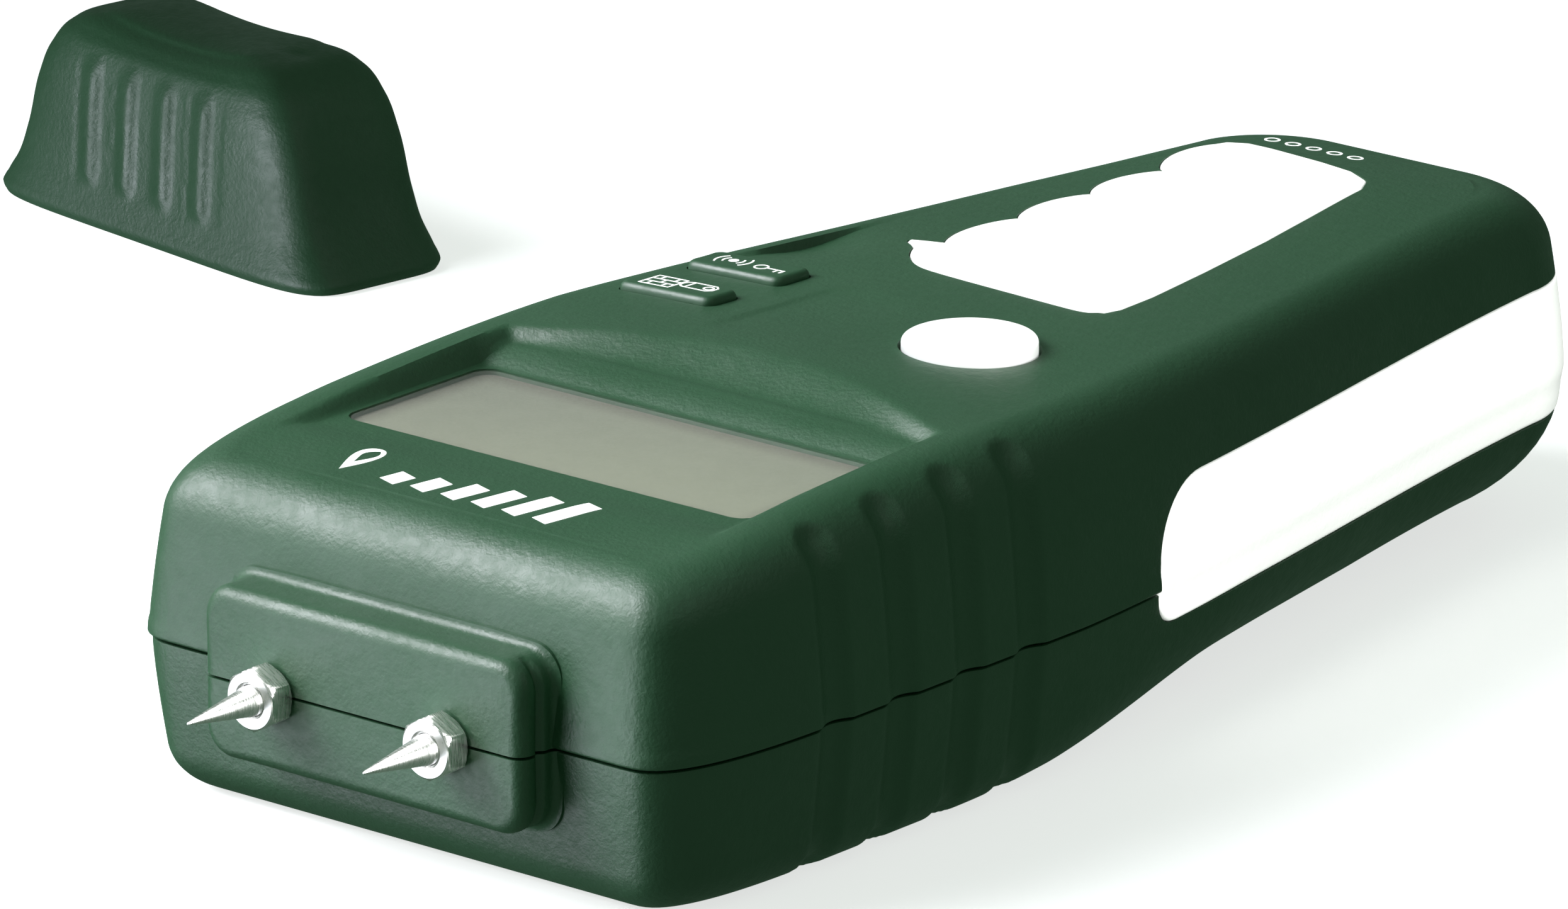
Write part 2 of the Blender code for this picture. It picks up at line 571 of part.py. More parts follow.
# --- the pin cap ------------------------------------------------------------------------
def rounded_loft(name, sections, roundness, dip, collection, slot=None, steps=8):
    """Closed form through superelliptic sections of (z, half length, half thickness)."""
    shape = bmesh.new()
    rings = []
    for z, half_x, half_y in sections:
        ring = []
        for step in range(4 * steps):
            turn = math.pi / 2 * (step + 0.5) / steps
            c, s = math.cos(turn), math.sin(turn)
            x = half_x * math.copysign(abs(c) ** (2 / roundness), c)
            y = half_y * math.copysign(abs(s) ** (2 / roundness), s)
            lower = dip * (1 - (x / half_x) ** 2) * smooth((z - 20) / 4)
            ring.append(shape.verts.new((x, y, z - lower)))
        rings.append(ring)
    for ring, following in zip(rings, rings[1:]):
        for i in range(len(ring)):
            shape.faces.new((ring[i - 1], ring[i], following[i], following[i - 1]))
    shape.faces.new(rings[0])
    top = rings[-1]
    half = len(top) // 2
    for i in range(half - 1):
        shape.faces.new((top[i], top[i + 1], top[-2 - i], top[-1 - i]))
    return from_bmesh(name, shape, collection, slot)


def pin_cap():
    cap = rounded_loft("cap", CAP_OUTER, 6, 1.0, PARTS, "casing")
    hollow = rounded_loft("cap_hollow", CAP_INNER, 8, 0.0, CUTTERS)
    cut(cap, hollow)
    for piece in (cap, hollow):
        piece.location = (CAP_CENTRE[0] * MM, CAP_CENTRE[1] * MM, 0)
        piece.rotation_euler = (0, 0, CAP_YAW)


clear_scene()
PARTS = new_collection("moisture_meter")
CUTTERS = new_collection("cutters")
band = side_band("grip_pocket", GRIP_BAND_Z[0] - GAP, GRIP_BAND_Z[1] + GAP, GRIP_BAND_Y - GAP,
                 SKIN_POCKET, 1.0, CUTTERS)
shared_cutters = [band, *boss_cutters()]
top_shell(shared_cutters)
bottom_shell(shared_cutters)
battery_door()
soft_skins()
display()
board()
buttons()
pins()
power_supply()
case_screws()
pin_cap()
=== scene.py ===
"""Looks of the pin moisture meter: fine casing shells, skins, keys, display, pins and cap.

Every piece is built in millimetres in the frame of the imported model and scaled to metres.
"""

import json
import math

import bmesh
import bpy
import numpy as np
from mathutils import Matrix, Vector


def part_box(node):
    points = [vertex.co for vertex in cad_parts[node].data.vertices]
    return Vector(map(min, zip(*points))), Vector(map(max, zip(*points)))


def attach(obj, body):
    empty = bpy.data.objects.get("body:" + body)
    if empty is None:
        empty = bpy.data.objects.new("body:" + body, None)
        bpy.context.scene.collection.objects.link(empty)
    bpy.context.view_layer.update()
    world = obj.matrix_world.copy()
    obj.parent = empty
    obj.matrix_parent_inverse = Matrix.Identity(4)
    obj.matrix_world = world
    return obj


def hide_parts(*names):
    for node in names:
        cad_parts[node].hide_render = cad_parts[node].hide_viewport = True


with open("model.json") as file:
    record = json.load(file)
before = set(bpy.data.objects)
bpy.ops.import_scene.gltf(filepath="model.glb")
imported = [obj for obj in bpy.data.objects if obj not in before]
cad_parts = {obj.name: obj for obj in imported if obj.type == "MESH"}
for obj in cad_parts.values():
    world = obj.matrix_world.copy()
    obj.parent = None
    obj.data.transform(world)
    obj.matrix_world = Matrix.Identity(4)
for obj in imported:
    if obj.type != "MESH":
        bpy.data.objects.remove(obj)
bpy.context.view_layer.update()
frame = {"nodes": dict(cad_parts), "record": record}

MM = 0.001

# --- driving dimensions, in millimetres ---
FRONT_Y, BACK_Y = -77.0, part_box("side_grip")[1].y / MM
HEAD_HALF = (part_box("top_shell")[1] / MM).x
HANDLE_DROP, TAPER_START = 13.0, -19.0
PARTING_Z, PARTING_GAP = 15.1, 0.15
WALL = 2.5
FRONT_CORNER = (7.5, 26.0, 2.85)       # across, along, roundness
FRONT_TIGHTEN = 0.44                   # how fast the front corner closes as it is drawn in
BACK_CORNER, BACK_TIGHTEN = 12.0, 0.5
TOP_RADIUS, TOP_INSET, TOP_LEAN = 6.2, 7.5, 0.15
BOTTOM_STEP, BOTTOM_DRAFT = 0.4, 1.0
BELLY_HEAD, BELLY_HANDLE, BELLY_STRETCH = 5.0, 14.3, 0.22     # lower edge's radius, extra width at the back
# height of the shoulder line and of the middle line of the top: (y, z) along the length
TOP_EDGE = ((-77, 32.4), (-62, 33.6), (-50, 34.4), (-25, 35.3), (-5, 35.0), (15, 34.6), (50, 34.3),
            (66, 34.1), (79.5, 33.7))
TOP_SPINE = ((-70, 32.4), (-63, 32.8), (-50, 33.6), (-23, 36.2), (-10, 35.7), (10, 35.3), (45, 35.0),
             (62, 34.6), (72, 33.7))
FLUTE_Y, FLUTE_HALF, FLUTE_DEPTH = (-55.0, -45.5, -36.0, -27.0), 2.25, 0.8
FLUTE_TOP_TURN, FLUTE_BELLY_TURN = 0.72, 0.95
DISPLAY_X, DISPLAY_Y, FLOOR_Z = 24.7, (-55.9, -35.4), 32.7
BROW_Y, BROW_BEND, RIDGE_Y = -22.6, 0.011, -30.9              # the arched slope behind the display
BOSS_X, BOSS_Z, BOSS_Y, BOSS_CORNER = 19.46, (7.3, 24.0), -81.2, 3.0
PIN_X, PIN_TIP_Y, PIN_R = 10.68, -92.7, 1.5
NUT_ACROSS, NUT_Y = 5.5, (-84.3, -81.5)
POWER_XY, POWER_R, POWER_TOP = (12.4, -8.6), 6.5, 36.9
PADS = {"mode": (-26.0, -14.4, -14.9, -10.2), "sound": (-26.0, -14.2, -4.9, 0.4)}
BAND_Z, BAND_Y = (11.6, 25.2), -7.0
SKIN, SKIN_POCKET = 1.1, 1.35
KEY_RISE = 0.85                        # how far the two small keys stand out of the top
DOOR_X, DOOR_Y, DOOR_TOP = 14.0, 15.3, 5.0
CASE_SCREWS = ((-25.5, -65.3), (25.5, -65.3), (-22.0, 11.0), (22.0, 11.0))
CAP_CENTRE, CAP_YAW, CAP_ROUNDNESS = (-148.6, 63.2), math.radians(-9.3), 6
# the cap from its mouth up: height, half length, half thickness
CAP_OUTER = ((0, 27.7, 10.2), (0.8, 28.1, 10.5), (2.2, 27.3, 10.3), (4.5, 25.7, 9.9), (8, 24.2, 9.6),
             (14, 22.4, 9.2), (17.6, 20.6, 8.7), (20.4, 18.0, 7.7), (22.5, 14.0, 5.8), (23.5, 10.0, 3.6),
             (23.8, 7.5, 1.2))
CAP_INNER = ((0, 19.85, 8.7), (4.9, 19.85, 8.7), (5.1, 15.5, 5.5), (20.4, 15.3, 5.3))
CAP_RIBS = (-9.6, -3.4, 2.8, 9.2)


# --- small helpers ---
def smooth(t):
    t = np.clip(t, 0.0, 1.0)
    return t * t * (3 - 2 * t)


def along(table, at):
    """Smooth curve through a table of (position, value) rows."""
    places = np.array([row[0] for row in table], float)
    values = np.array([row[1] for row in table], float)
    slopes = np.gradient(values, places)
    at = np.clip(np.asarray(at, float), places[0], places[-1])
    k = np.clip(np.searchsorted(places, at) - 1, 0, len(places) - 2)
    step = places[k + 1] - places[k]
    t = (at - places[k]) / step
    rise = values[k + 1] - values[k]
    pull = t * (t - 1) * ((t - 1) * (slopes[k] * step - rise) + t * (slopes[k + 1] * step - rise))
    return values[k] + rise * t + pull


def add_object(name, data):
    made = bpy.data.objects.new(name, data)
    bpy.context.scene.collection.objects.link(made)
    return made


def new_mesh(name, points, faces, sharp=34):
    """Object of millimetre points, in metres, with outward normals and smooth shading."""
    data = bpy.data.meshes.new(name)
    metres = np.asarray(points, float) * MM
    data.from_pydata(metres.tolist(), [], [tuple(map(int, face)) for face in faces])
    shape = bmesh.new()
    shape.from_mesh(data)
    bmesh.ops.recalc_face_normals(shape, faces=shape.faces)
    shape.to_mesh(data)
    shape.free()
    return shade(add_object(name, data), sharp)


def shade(made, sharp=34):
    made.data.shade_smooth()
    made.data.set_sharp_from_angle(angle=math.radians(sharp))
    return made


def full_turn(count):
    return np.linspace(0, 2 * math.pi, count, endpoint=False)


def on_circle(x, y, radius, turns):
    return np.stack([x + radius * np.cos(turns), y + radius * np.sin(turns)], 1)


def quarter_round(gap, radius):
    """Height of a quarter round, gap millimetres in from where it starts."""
    return np.sqrt(radius ** 2 - np.clip(radius - gap, 0, radius) ** 2)


def ring_faces(low, high, count):
    """Quads between two closed rings that start at vertex low and vertex high."""
    i = np.arange(count)
    j = (i + 1) % count
    return np.stack([low + i, low + j, high + j, high + i], 1).tolist()


def loft_faces(rings, count, first=0):
    """Quads along a row of closed rings of count vertices each."""
    return [face for k in range(rings - 1)
            for face in ring_faces(first + k * count, first + (k + 1) * count, count)]


def end_face(first, count):
    return list(range(first, first + count))


def grid_faces(indices):
    """Quads of a two-dimensional array of vertex numbers."""
    corners = (indices[:-1, :-1], indices[:-1, 1:], indices[1:, 1:], indices[1:, :-1])
    return np.stack(corners, -1).reshape(-1, 4).tolist()


def flat(level):
    """Height function of a level plane."""
    return lambda x, y: 0.0 * x + level


def carve(target, others, operation):
    """Apply one MANIFOLD Boolean per cutter and drop the cutters."""
    for other in others:
        step = target.modifiers.new(other.name, "BOOLEAN")
        step.operation, step.solver, step.object = operation, "MANIFOLD", other
    graph = bpy.context.evaluated_depsgraph_get()
    result = bpy.data.meshes.new_from_object(target.evaluated_get(graph))
    target.modifiers.clear()
    target.data = result
    for other in others:
        bpy.data.objects.remove(other, do_unlink=True)
    return shade(target)


# --- the plan outline ---
def half_width(y):
    t = np.clip((y - TAPER_START) / (BACK_Y - TAPER_START), 0, 1)
    return HEAD_HALF - HANDLE_DROP * (0.45 * t + 0.55 * smooth(t))


ACROSS = 120                           # lines that run along the top and the underside
FINE, COARSE = 0.45, 1.3               # spacing of the stations past the flutes and along the handle
FLUTES_END, HANDLE_END = -22, 67.5
COMPRESS_Y = 40.0                      # behind it, drawing the outline in also shortens it
CORNER_LENGTH = FRONT_CORNER[1]
CORNER_START_Y = FRONT_Y + CORNER_LENGTH
corner_places = np.concatenate([np.linspace(0, 1, 9)[:-1] ** 2 * 10 * FINE,
                                np.arange(10 * FINE, CORNER_LENGTH - 0.1, FINE), [CORNER_LENGTH]])
CORNER_TURNS = np.arccos(np.clip(1 - corner_places / CORNER_LENGTH, 0, 1) ** (FRONT_CORNER[2] / 2))
SIDE_PLACES = np.concatenate([np.arange(CORNER_START_Y + FINE, FLUTES_END, FINE),
                              np.arange(FLUTES_END, HANDLE_END - 0.5, COARSE), [HANDLE_END]])
BACK_TURNS = np.linspace(0, math.pi / 2, 19)[1:]
FRONT_SHARES = np.linspace(0, 1, ACROSS // 2 + 1)[:-1]
REAR_SHARES = np.linspace(1, 0, ACROSS // 2 + 1)[1:]
parts = (FRONT_SHARES, CORNER_TURNS, SIDE_PLACES, BACK_TURNS, REAR_SHARES)
STARTS = np.cumsum([0] + [len(part) for part in parts])
HALF_COUNT = STARTS[-1]
RING_COUNT = 2 * HALF_COUNT - 2
corner_cos = np.cos(CORNER_TURNS).clip(0) ** (2 / FRONT_CORNER[2])
corner_sin = np.sin(CORNER_TURNS).clip(0) ** (2 / FRONT_CORNER[2])


def plan(inset):
    """(x, y) of the right half of the outline, front centre to rear centre, drawn in by inset."""
    inset = np.broadcast_to(np.asarray(inset, float), (HALF_COUNT,))
    front, corner, side, back, rear = (inset[STARTS[k]:STARTS[k + 1]] for k in range(5))
    end_x = half_width(BACK_Y - BACK_CORNER)
    front_a, corner_a = (FRONT_CORNER[0] - FRONT_TIGHTEN * drawn for drawn in (front, corner))
    back_r, rear_r = (BACK_CORNER - BACK_TIGHTEN * drawn for drawn in (back, rear))
    squeeze = np.clip((SIDE_PLACES - COMPRESS_Y) / (BACK_Y - BACK_CORNER - COMPRESS_Y), 0, 1)
    x = np.concatenate([FRONT_SHARES * (HEAD_HALF - front - front_a),
                        HEAD_HALF - corner - corner_a + corner_a * corner_sin,
                        half_width(SIDE_PLACES) - side,
                        end_x - back - back_r + back_r * np.cos(BACK_TURNS),
                        REAR_SHARES * (end_x - rear - rear_r)])
    y = np.concatenate([FRONT_Y + front, CORNER_START_Y - (CORNER_LENGTH - corner) * corner_cos,
                        SIDE_PLACES - (1 - BACK_TIGHTEN) * side * squeeze,
                        BACK_Y - back - back_r + back_r * np.sin(BACK_TURNS), BACK_Y - rear])
    return x, y


REFERENCE_Y = plan(0.0)[1]             # place of every station along the length


def full_ring(x, y, z):
    """Whole closed ring from its right half."""
    right = np.stack([x, y, np.broadcast_to(z, x.shape)], 1)
    left = right[-2:0:-1] * (-1, 1, 1)
    return np.concatenate([right, left])


def mirror_index(index):
    """Vertex of a ring that mirrors the given one."""
    return (RING_COUNT - index) % RING_COUNT


# --- heights of the top ---
def crown(x, y):
    """Height of the top before the display field, keys and marks are shaped into it."""
    x, y = np.abs(np.asarray(x, float)), np.asarray(y, float)
    across, length, roundness = FRONT_CORNER
    share = np.clip((CORNER_START_Y - y) / (length - TOP_INSET), 0, 1)
    corner = (across - FRONT_TIGHTEN * TOP_INSET) * (1 - (1 - share ** roundness) ** (1 / roundness))
    stretch = (1 - BACK_TIGHTEN) * TOP_INSET / (BACK_Y - BACK_CORNER - COMPRESS_Y)
    reference = np.where(y > COMPRESS_Y, (y - stretch * COMPRESS_Y) / (1 - stretch), y)
    reference = np.where(y < CORNER_START_Y, CORNER_START_Y - length * share, reference)
    half = half_width(reference) - TOP_INSET - corner
    edge = along(TOP_EDGE, reference)
    return edge + (along(TOP_SPINE, y) - edge) * (1 - np.clip(x / half, 0, 1) ** 2)


def brow_y(x):
    return BROW_Y - BROW_BEND * x * x


def display_field(x, y):
    """Height of the sunk display field and the two slopes of the brow behind it."""
    first_rise, arch = 1.3, brow_y(x)
    first_slope = first_rise * (1 - (1 - np.clip((y + 35.2) / 4.4, 0, 1)) ** 1.9)
    reach = np.maximum((y - RIDGE_Y) / np.maximum(arch - RIDGE_Y, 1.6), 0)
    second_slope = (crown(x, arch) - FLOOR_Z - first_rise) * smooth(reach)
    fade = 1 - smooth((np.abs(x) - 14) / 8)
    ridge = 0.13 * np.exp(-((y - RIDGE_Y - 0.2) / 0.45) ** 2) * fade
    return FLOOR_Z + first_slope + second_slope + ridge


def top_height(x, y):
    """Height of the finished top at (x, y)."""
    x, y = np.asarray(x, float), np.asarray(y, float)
    whole = crown(x, y)
    inner = np.minimum(display_field(x, y), whole)
    side = smooth((np.abs(x) - DISPLAY_X - 0.2) / 1.7)
    rear = smooth((y - brow_y(x) + 2.0) / 2.5)
    front = smooth((-58.0 - y) / 6)
    outside = np.maximum(np.maximum(side, rear), front)
    height = inner + (whole - inner) * outside
    # the key panel lies a step lower, and the step fades away to its rear right
    key_edge = -1.1 - 0.04 * np.clip(x + 7, 0, 40) ** 2 - 0.5 * np.clip(-8 - x, 0, 3) ** 2
    inside = smooth((key_edge - y) / 0.7 + 0.5) * smooth((x + 10.3) / 0.5) * smooth((y + 21) / 4)
    away = np.exp(-np.clip(key_edge - y, 0, 40) / 6) + np.exp(-np.clip(x + 10, 0, 40) / 5)
    height = height - 0.16 * inside * np.clip(away, 0, 1) * (1 - smooth((x + 5) / 8))
    dip_behind_keys = 0.9 * np.exp(-((x + 24.0) / 5.5) ** 2 - ((y - 10.5) / 6.5) ** 2)
    return height - dip_behind_keys


# --- casing shells ---
LIP_STEPS = (0.0, 0.06, 0.15, 0.3, 0.5, 0.8, 1.2, 1.6, 2.1, 3.0)
RIM_STEP = 0.12
# the upper casing's side: where its rounded edge starts, and how it leans in below that
SIDE_DRIFT = TOP_INSET - TOP_RADIUS * math.cos(TOP_LEAN)
SIDE_TOP = along(TOP_EDGE, REFERENCE_Y) - TOP_RADIUS * (1 - math.sin(TOP_LEAN))
SIDE_RISE = SIDE_TOP - PARTING_Z
SIDE_POWER = math.tan(TOP_LEAN) * SIDE_RISE / SIDE_DRIFT
# the lower edge's quarter round: height and width
BELLY_RADIUS = BELLY_HEAD + (BELLY_HANDLE - BELLY_HEAD) * smooth((REFERENCE_Y + 34) / 48)
BELLY_WIDTH = BELLY_RADIUS * (1 + BELLY_STRETCH * smooth((REFERENCE_Y + 15) / 40))


def lip(h, radius, step):
    """Inset of a rounded rim: radius at the edge, and a small step above it."""
    return radius - quarter_round(h, radius) + step * smooth((h - 0.9) / 0.9)


def upper_inset(share, step=RIM_STEP):
    return SIDE_DRIFT * share ** SIDE_POWER + step * (1 - share)


def top_levels():
    """(inset, z, distance past the flutes' upper ends) at every level of the upper casing."""
    levels = []
    for h in LIP_STEPS:
        inset = upper_inset(h / SIDE_RISE, lip(h, 0.3, RIM_STEP))
        levels.append((inset, np.full(HALF_COUNT, PARTING_Z + PARTING_GAP + h), 0.0))
    for share in np.linspace(0.3, 1, 14)[:-1]:
        levels.append((upper_inset(share), PARTING_Z + SIDE_RISE * share, 0.0))
    for turn in np.linspace(TOP_LEAN, math.pi / 2, 19):
        inset = SIDE_DRIFT + TOP_RADIUS * (math.cos(TOP_LEAN) - math.cos(turn))
        z = SIDE_TOP + TOP_RADIUS * (math.sin(turn) - math.sin(TOP_LEAN))
        levels.append((np.full(HALF_COUNT, inset), z, max(0.0, TOP_RADIUS * (turn - FLUTE_TOP_TURN))))
    return levels


def bottom_levels():
    """(inset, z, distance past the flutes' lower ends) at every level of the lower casing."""
    share = (BELLY_HANDLE - BELLY_RADIUS) / (BELLY_HANDLE - BELLY_HEAD)
    lean = TOP_LEAN * share
    drift = BOTTOM_DRAFT * share + BELLY_RADIUS * (1 - np.cos(lean))
    start = BELLY_RADIUS * (1 - np.sin(lean))
    levels = []
    for h in LIP_STEPS[:7]:
        inset = BOTTOM_STEP + lip(h, 0.25, 0.0)
        z = np.maximum(PARTING_Z - PARTING_GAP - h * 0.5, start + 0.02 * (7 - h))
        levels.append((np.full(HALF_COUNT, inset), z, 0.0))
    for share in np.linspace(0.12, 1, 14)[:-1]:
        h = 0.6 + (PARTING_Z - start - 0.6) * share
        levels.append((BOTTOM_STEP + drift * share ** 1.3, PARTING_Z - h, 0.0))
    for step in np.linspace(0, 1, 19):
        turn = lean + (math.pi / 2 - lean) * step
        inset = BOTTOM_STEP + drift + BELLY_WIDTH * (np.cos(lean) - np.cos(turn))
        past = np.maximum(0.0, BELLY_RADIUS * (turn - FLUTE_BELLY_TURN))
        levels.append((inset, BELLY_RADIUS * (1 - np.sin(turn)), past))
    return levels


def flutes(y, past):
    """Depth of the grip flutes at y, past millimetres beyond their straight part."""
    depth = np.zeros_like(y)
    for centre in FLUTE_Y:
        away = np.hypot(y - centre, past) / FLUTE_HALF
        depth = np.maximum(depth, FLUTE_DEPTH * np.clip(1 - away * away, 0, 1) ** 1.15)
    return depth


def section_rings(levels, thickness):
    """Rings of every level, sunk by the flutes or drawn in by the wall thickness."""
    rings = np.array([full_ring(*plan(inset), z) for inset, z, _ in levels])
    normal = np.cross(np.roll(rings, -1, 1) - np.roll(rings, 1, 1), np.gradient(rings, axis=0))
    normal /= np.maximum(np.linalg.norm(normal, axis=2, keepdims=True), 1e-9)
    if rings[-1, 0, 2] < rings[0, 0, 2]:
        normal = -normal
    for level in range(len(LIP_STEPS)):
        normal[level] = normal[len(LIP_STEPS)] * (1, 1, 0)
    if thickness:
        return rings - normal * thickness
    for level, (_, _, past) in enumerate(levels):
        right = np.broadcast_to(np.asarray(past, float), (HALF_COUNT,))
        past = np.concatenate([right, right[-2:0:-1]])
        rings[level] -= normal[level] * flutes(rings[level][:, 1], past)[:, None]
    return rings


def close_cap(points, ring_start, height):
    """Add the grid that closes a ring across the body; returns its faces."""
    ring = points[ring_start:ring_start + RING_COUNT]
    first, last = STARTS[1], STARTS[4] - 1
    front = [mirror_index(i) for i in range(first, 0, -1)] + list(range(first + 1))
    rear = [mirror_index(i) for i in range(last, HALF_COUNT - 1)] + list(range(HALF_COUNT - 1, last - 1, -1))
    rows, extra, count = [np.array(front) + ring_start], [], len(points)
    shares = np.linspace(-1, 1, ACROSS + 1)[1:-1]
    for index in range(first + 1, last):
        across, place = shares * ring[index, 0], np.full(ACROSS - 1, ring[index, 1])
        extra.append(np.stack([across, place, height(across, place)], 1))
        numbers = count + np.arange(ACROSS - 1)
        count += ACROSS - 1
        rows.append(np.concatenate([[ring_start + mirror_index(index)], numbers, [ring_start + index]]))
    rows.append(np.array(rear) + ring_start)
    return np.concatenate([points, *extra]), grid_faces(np.array(rows))


def half_shell(name, levels, height, inward):
    """Closed solid of one casing half; inward is the way from its outer to its inner face, along Z."""
    outer = section_rings(levels, 0)
    inner = section_rings(levels, WALL)
    by_the_rim = np.abs(inner[:, :, 2] - inner[0, :, 2]) < 0.2
    inner[:, :, 2] = np.where(by_the_rim, outer[0, :, 2], inner[:, :, 2])
    # the inner wall is hidden, so it keeps only some of the levels
    inner = inner[sorted({0, 6, len(levels) - 1, *range(8, len(levels), 3)})]
    points = np.concatenate([outer.reshape(-1, 3), inner.reshape(-1, 3)])
    base = len(outer) * RING_COUNT
    faces = loft_faces(len(outer), RING_COUNT) + loft_faces(len(inner), RING_COUNT, base)
    faces += ring_faces(0, base, RING_COUNT)
    points, lid = close_cap(points, base - RING_COUNT, height)
    inner_end = base + (len(inner) - 1) * RING_COUNT
    points, inner_lid = close_cap(points, inner_end, lambda x, y: height(x, y) + inward)
    return new_mesh(name, points, faces + lid + inner_lid)


# --- outlines and plates ---
def rounded_rectangle(x0, x1, y0, y1, radius, steps=10, spacing=1.0):
    corners = ((x1 - radius, y1 - radius, 0), (x0 + radius, y1 - radius, 1),
               (x0 + radius, y0 + radius, 2), (x1 - radius, y0 + radius, 3))
    points = []
    for x, y, quarter in corners:
        turns = math.pi / 2 * (quarter + np.linspace(0, 1, steps + 1))
        points.append(on_circle(x, y, radius, turns))
    return fill_gaps(np.concatenate(points), spacing)


def fill_gaps(points, spacing):
    """Add points to the long stretches of a closed outline."""
    made = []
    for here, there in zip(points, np.roll(points, -1, 0)):
        count = max(1, int(np.linalg.norm(there - here) / spacing))
        for step in range(count):
            made.append(here + (there - here) * step / count)
    return np.array(made)


def round_curve(knots, spacing):
    """Closed smooth curve through the knots; a knot given twice keeps a sharp corner."""
    knots = np.array(knots, float)
    count = len(knots)
    made = []
    for k in range(count):
        p0, p1, p2, p3 = (knots[(k + shift) % count] for shift in (-1, 0, 1, 2))
        steps = int(np.linalg.norm(p2 - p1) / spacing)
        for step in range(steps):
            t = step / steps
            made.append(0.5 * (2 * p1 + (p2 - p0) * t + (2 * p0 - 5 * p1 + 4 * p2 - p3) * t * t
                               + (3 * p1 - p0 - 3 * p2 + p3) * t ** 3))
    return np.array(made)


def toward_spine(outline, spine):
    """Closest points of a segment to the points of an outline, and how far they lie."""
    start, end = np.array(spine, float)
    way = end - start
    t = np.clip((outline - start) @ way / max(float(way @ way), 1e-9), 0, 1)
    centre = start + t[:, None] * way
    return centre, np.linalg.norm(outline - centre, axis=1, keepdims=True)


def plate(name, outline, spine, height, top, thickness, radius=0.4, grow=0.0, crown_rise=0.0):
    """Closed plate whose top follows height plus top, with rounded upper edges."""
    centre, away = toward_spine(outline, spine)
    outline = outline + (outline - centre) / away * grow
    away = away + grow
    inward = centre - outline
    rings = []
    for turn in np.linspace(0, math.pi / 2, 7):
        place = outline + inward / away * radius * (1 - math.cos(turn))
        rings.append((place, top - radius * (1 - math.sin(turn))))
    for share in (0.15, 0.3, 0.45, 0.6, 0.75, 0.9):
        place = outline + inward * (radius / away + (1 - radius / away) * share)
        rings.append((place, top + crown_rise * math.sin(share * math.pi / 2)))
    upper = len(rings)
    rings += [(outline + inward * share, top - thickness) for share in (0.0, 0.3, 0.6, 0.9)]
    points = [np.column_stack([place, height(place[:, 0], place[:, 1]) + level]) for place, level in rings]
    count = len(outline)
    faces = loft_faces(upper, count) + loft_faces(len(rings) - upper, count, upper * count)
    faces += ring_faces(0, upper * count, count)
    faces += [end_face((upper - 1) * count, count), end_face((len(rings) - 1) * count, count)]
    return new_mesh(name, np.concatenate(points), faces)


def prism(name, outline, low, high):
    count = len(outline)
    points = [np.column_stack([outline, np.full(count, z)]) for z in (low, high)]
    faces = [end_face(0, count), end_face(count, count), *ring_faces(0, count, count)]
    return new_mesh(name, np.concatenate(points), faces)


def block(name, low, high):
    (x0, y0, z0), (x1, y1, z1) = low, high
    return prism(name, np.array([(x0, y0), (x1, y0), (x1, y1), (x0, y1)], float), z0, z1)


def circle(x, y, radius, count=96):
    return on_circle(x, y, radius, full_turn(count))


def arc(x, y, radius, start, end, steps=14):
    return on_circle(x, y, radius, np.radians(np.linspace(start, end, steps)))


def turned(name, profile, centre, axis="Z", sides=64):
    """Closed turned piece through (radius, place along the axis) rows; the ends are filled."""
    turns = full_turn(sides)
    rings = []
    for radius, place in profile:
        a, b, c = radius * np.cos(turns), radius * np.sin(turns), np.full(sides, place)
        rings.append(np.stack({"Z": (a, b, c), "Y": (a, c, b)}[axis], 1) + centre)
    faces = loft_faces(len(profile), sides)
    faces += [end_face(0, sides), end_face((len(profile) - 1) * sides, sides)]
    return new_mesh(name, np.concatenate(rings), faces)


# --- side skin ---
def side_inset(z):
    """Inset of the casing's side at height z, for every station of the right half."""
    upper = upper_inset(np.clip((z - PARTING_Z) / SIDE_RISE, 0, 1))
    below = ((BELLY_RADIUS - z) / BELLY_RADIUS).clip(0)
    lower = BOTTOM_STEP + BELLY_WIDTH * (1 - np.sqrt(np.clip(1 - below ** 2, 0, 1)))
    return lower + (upper - lower) * smooth((z - PARTING_Z + 1.2) / 2.4)


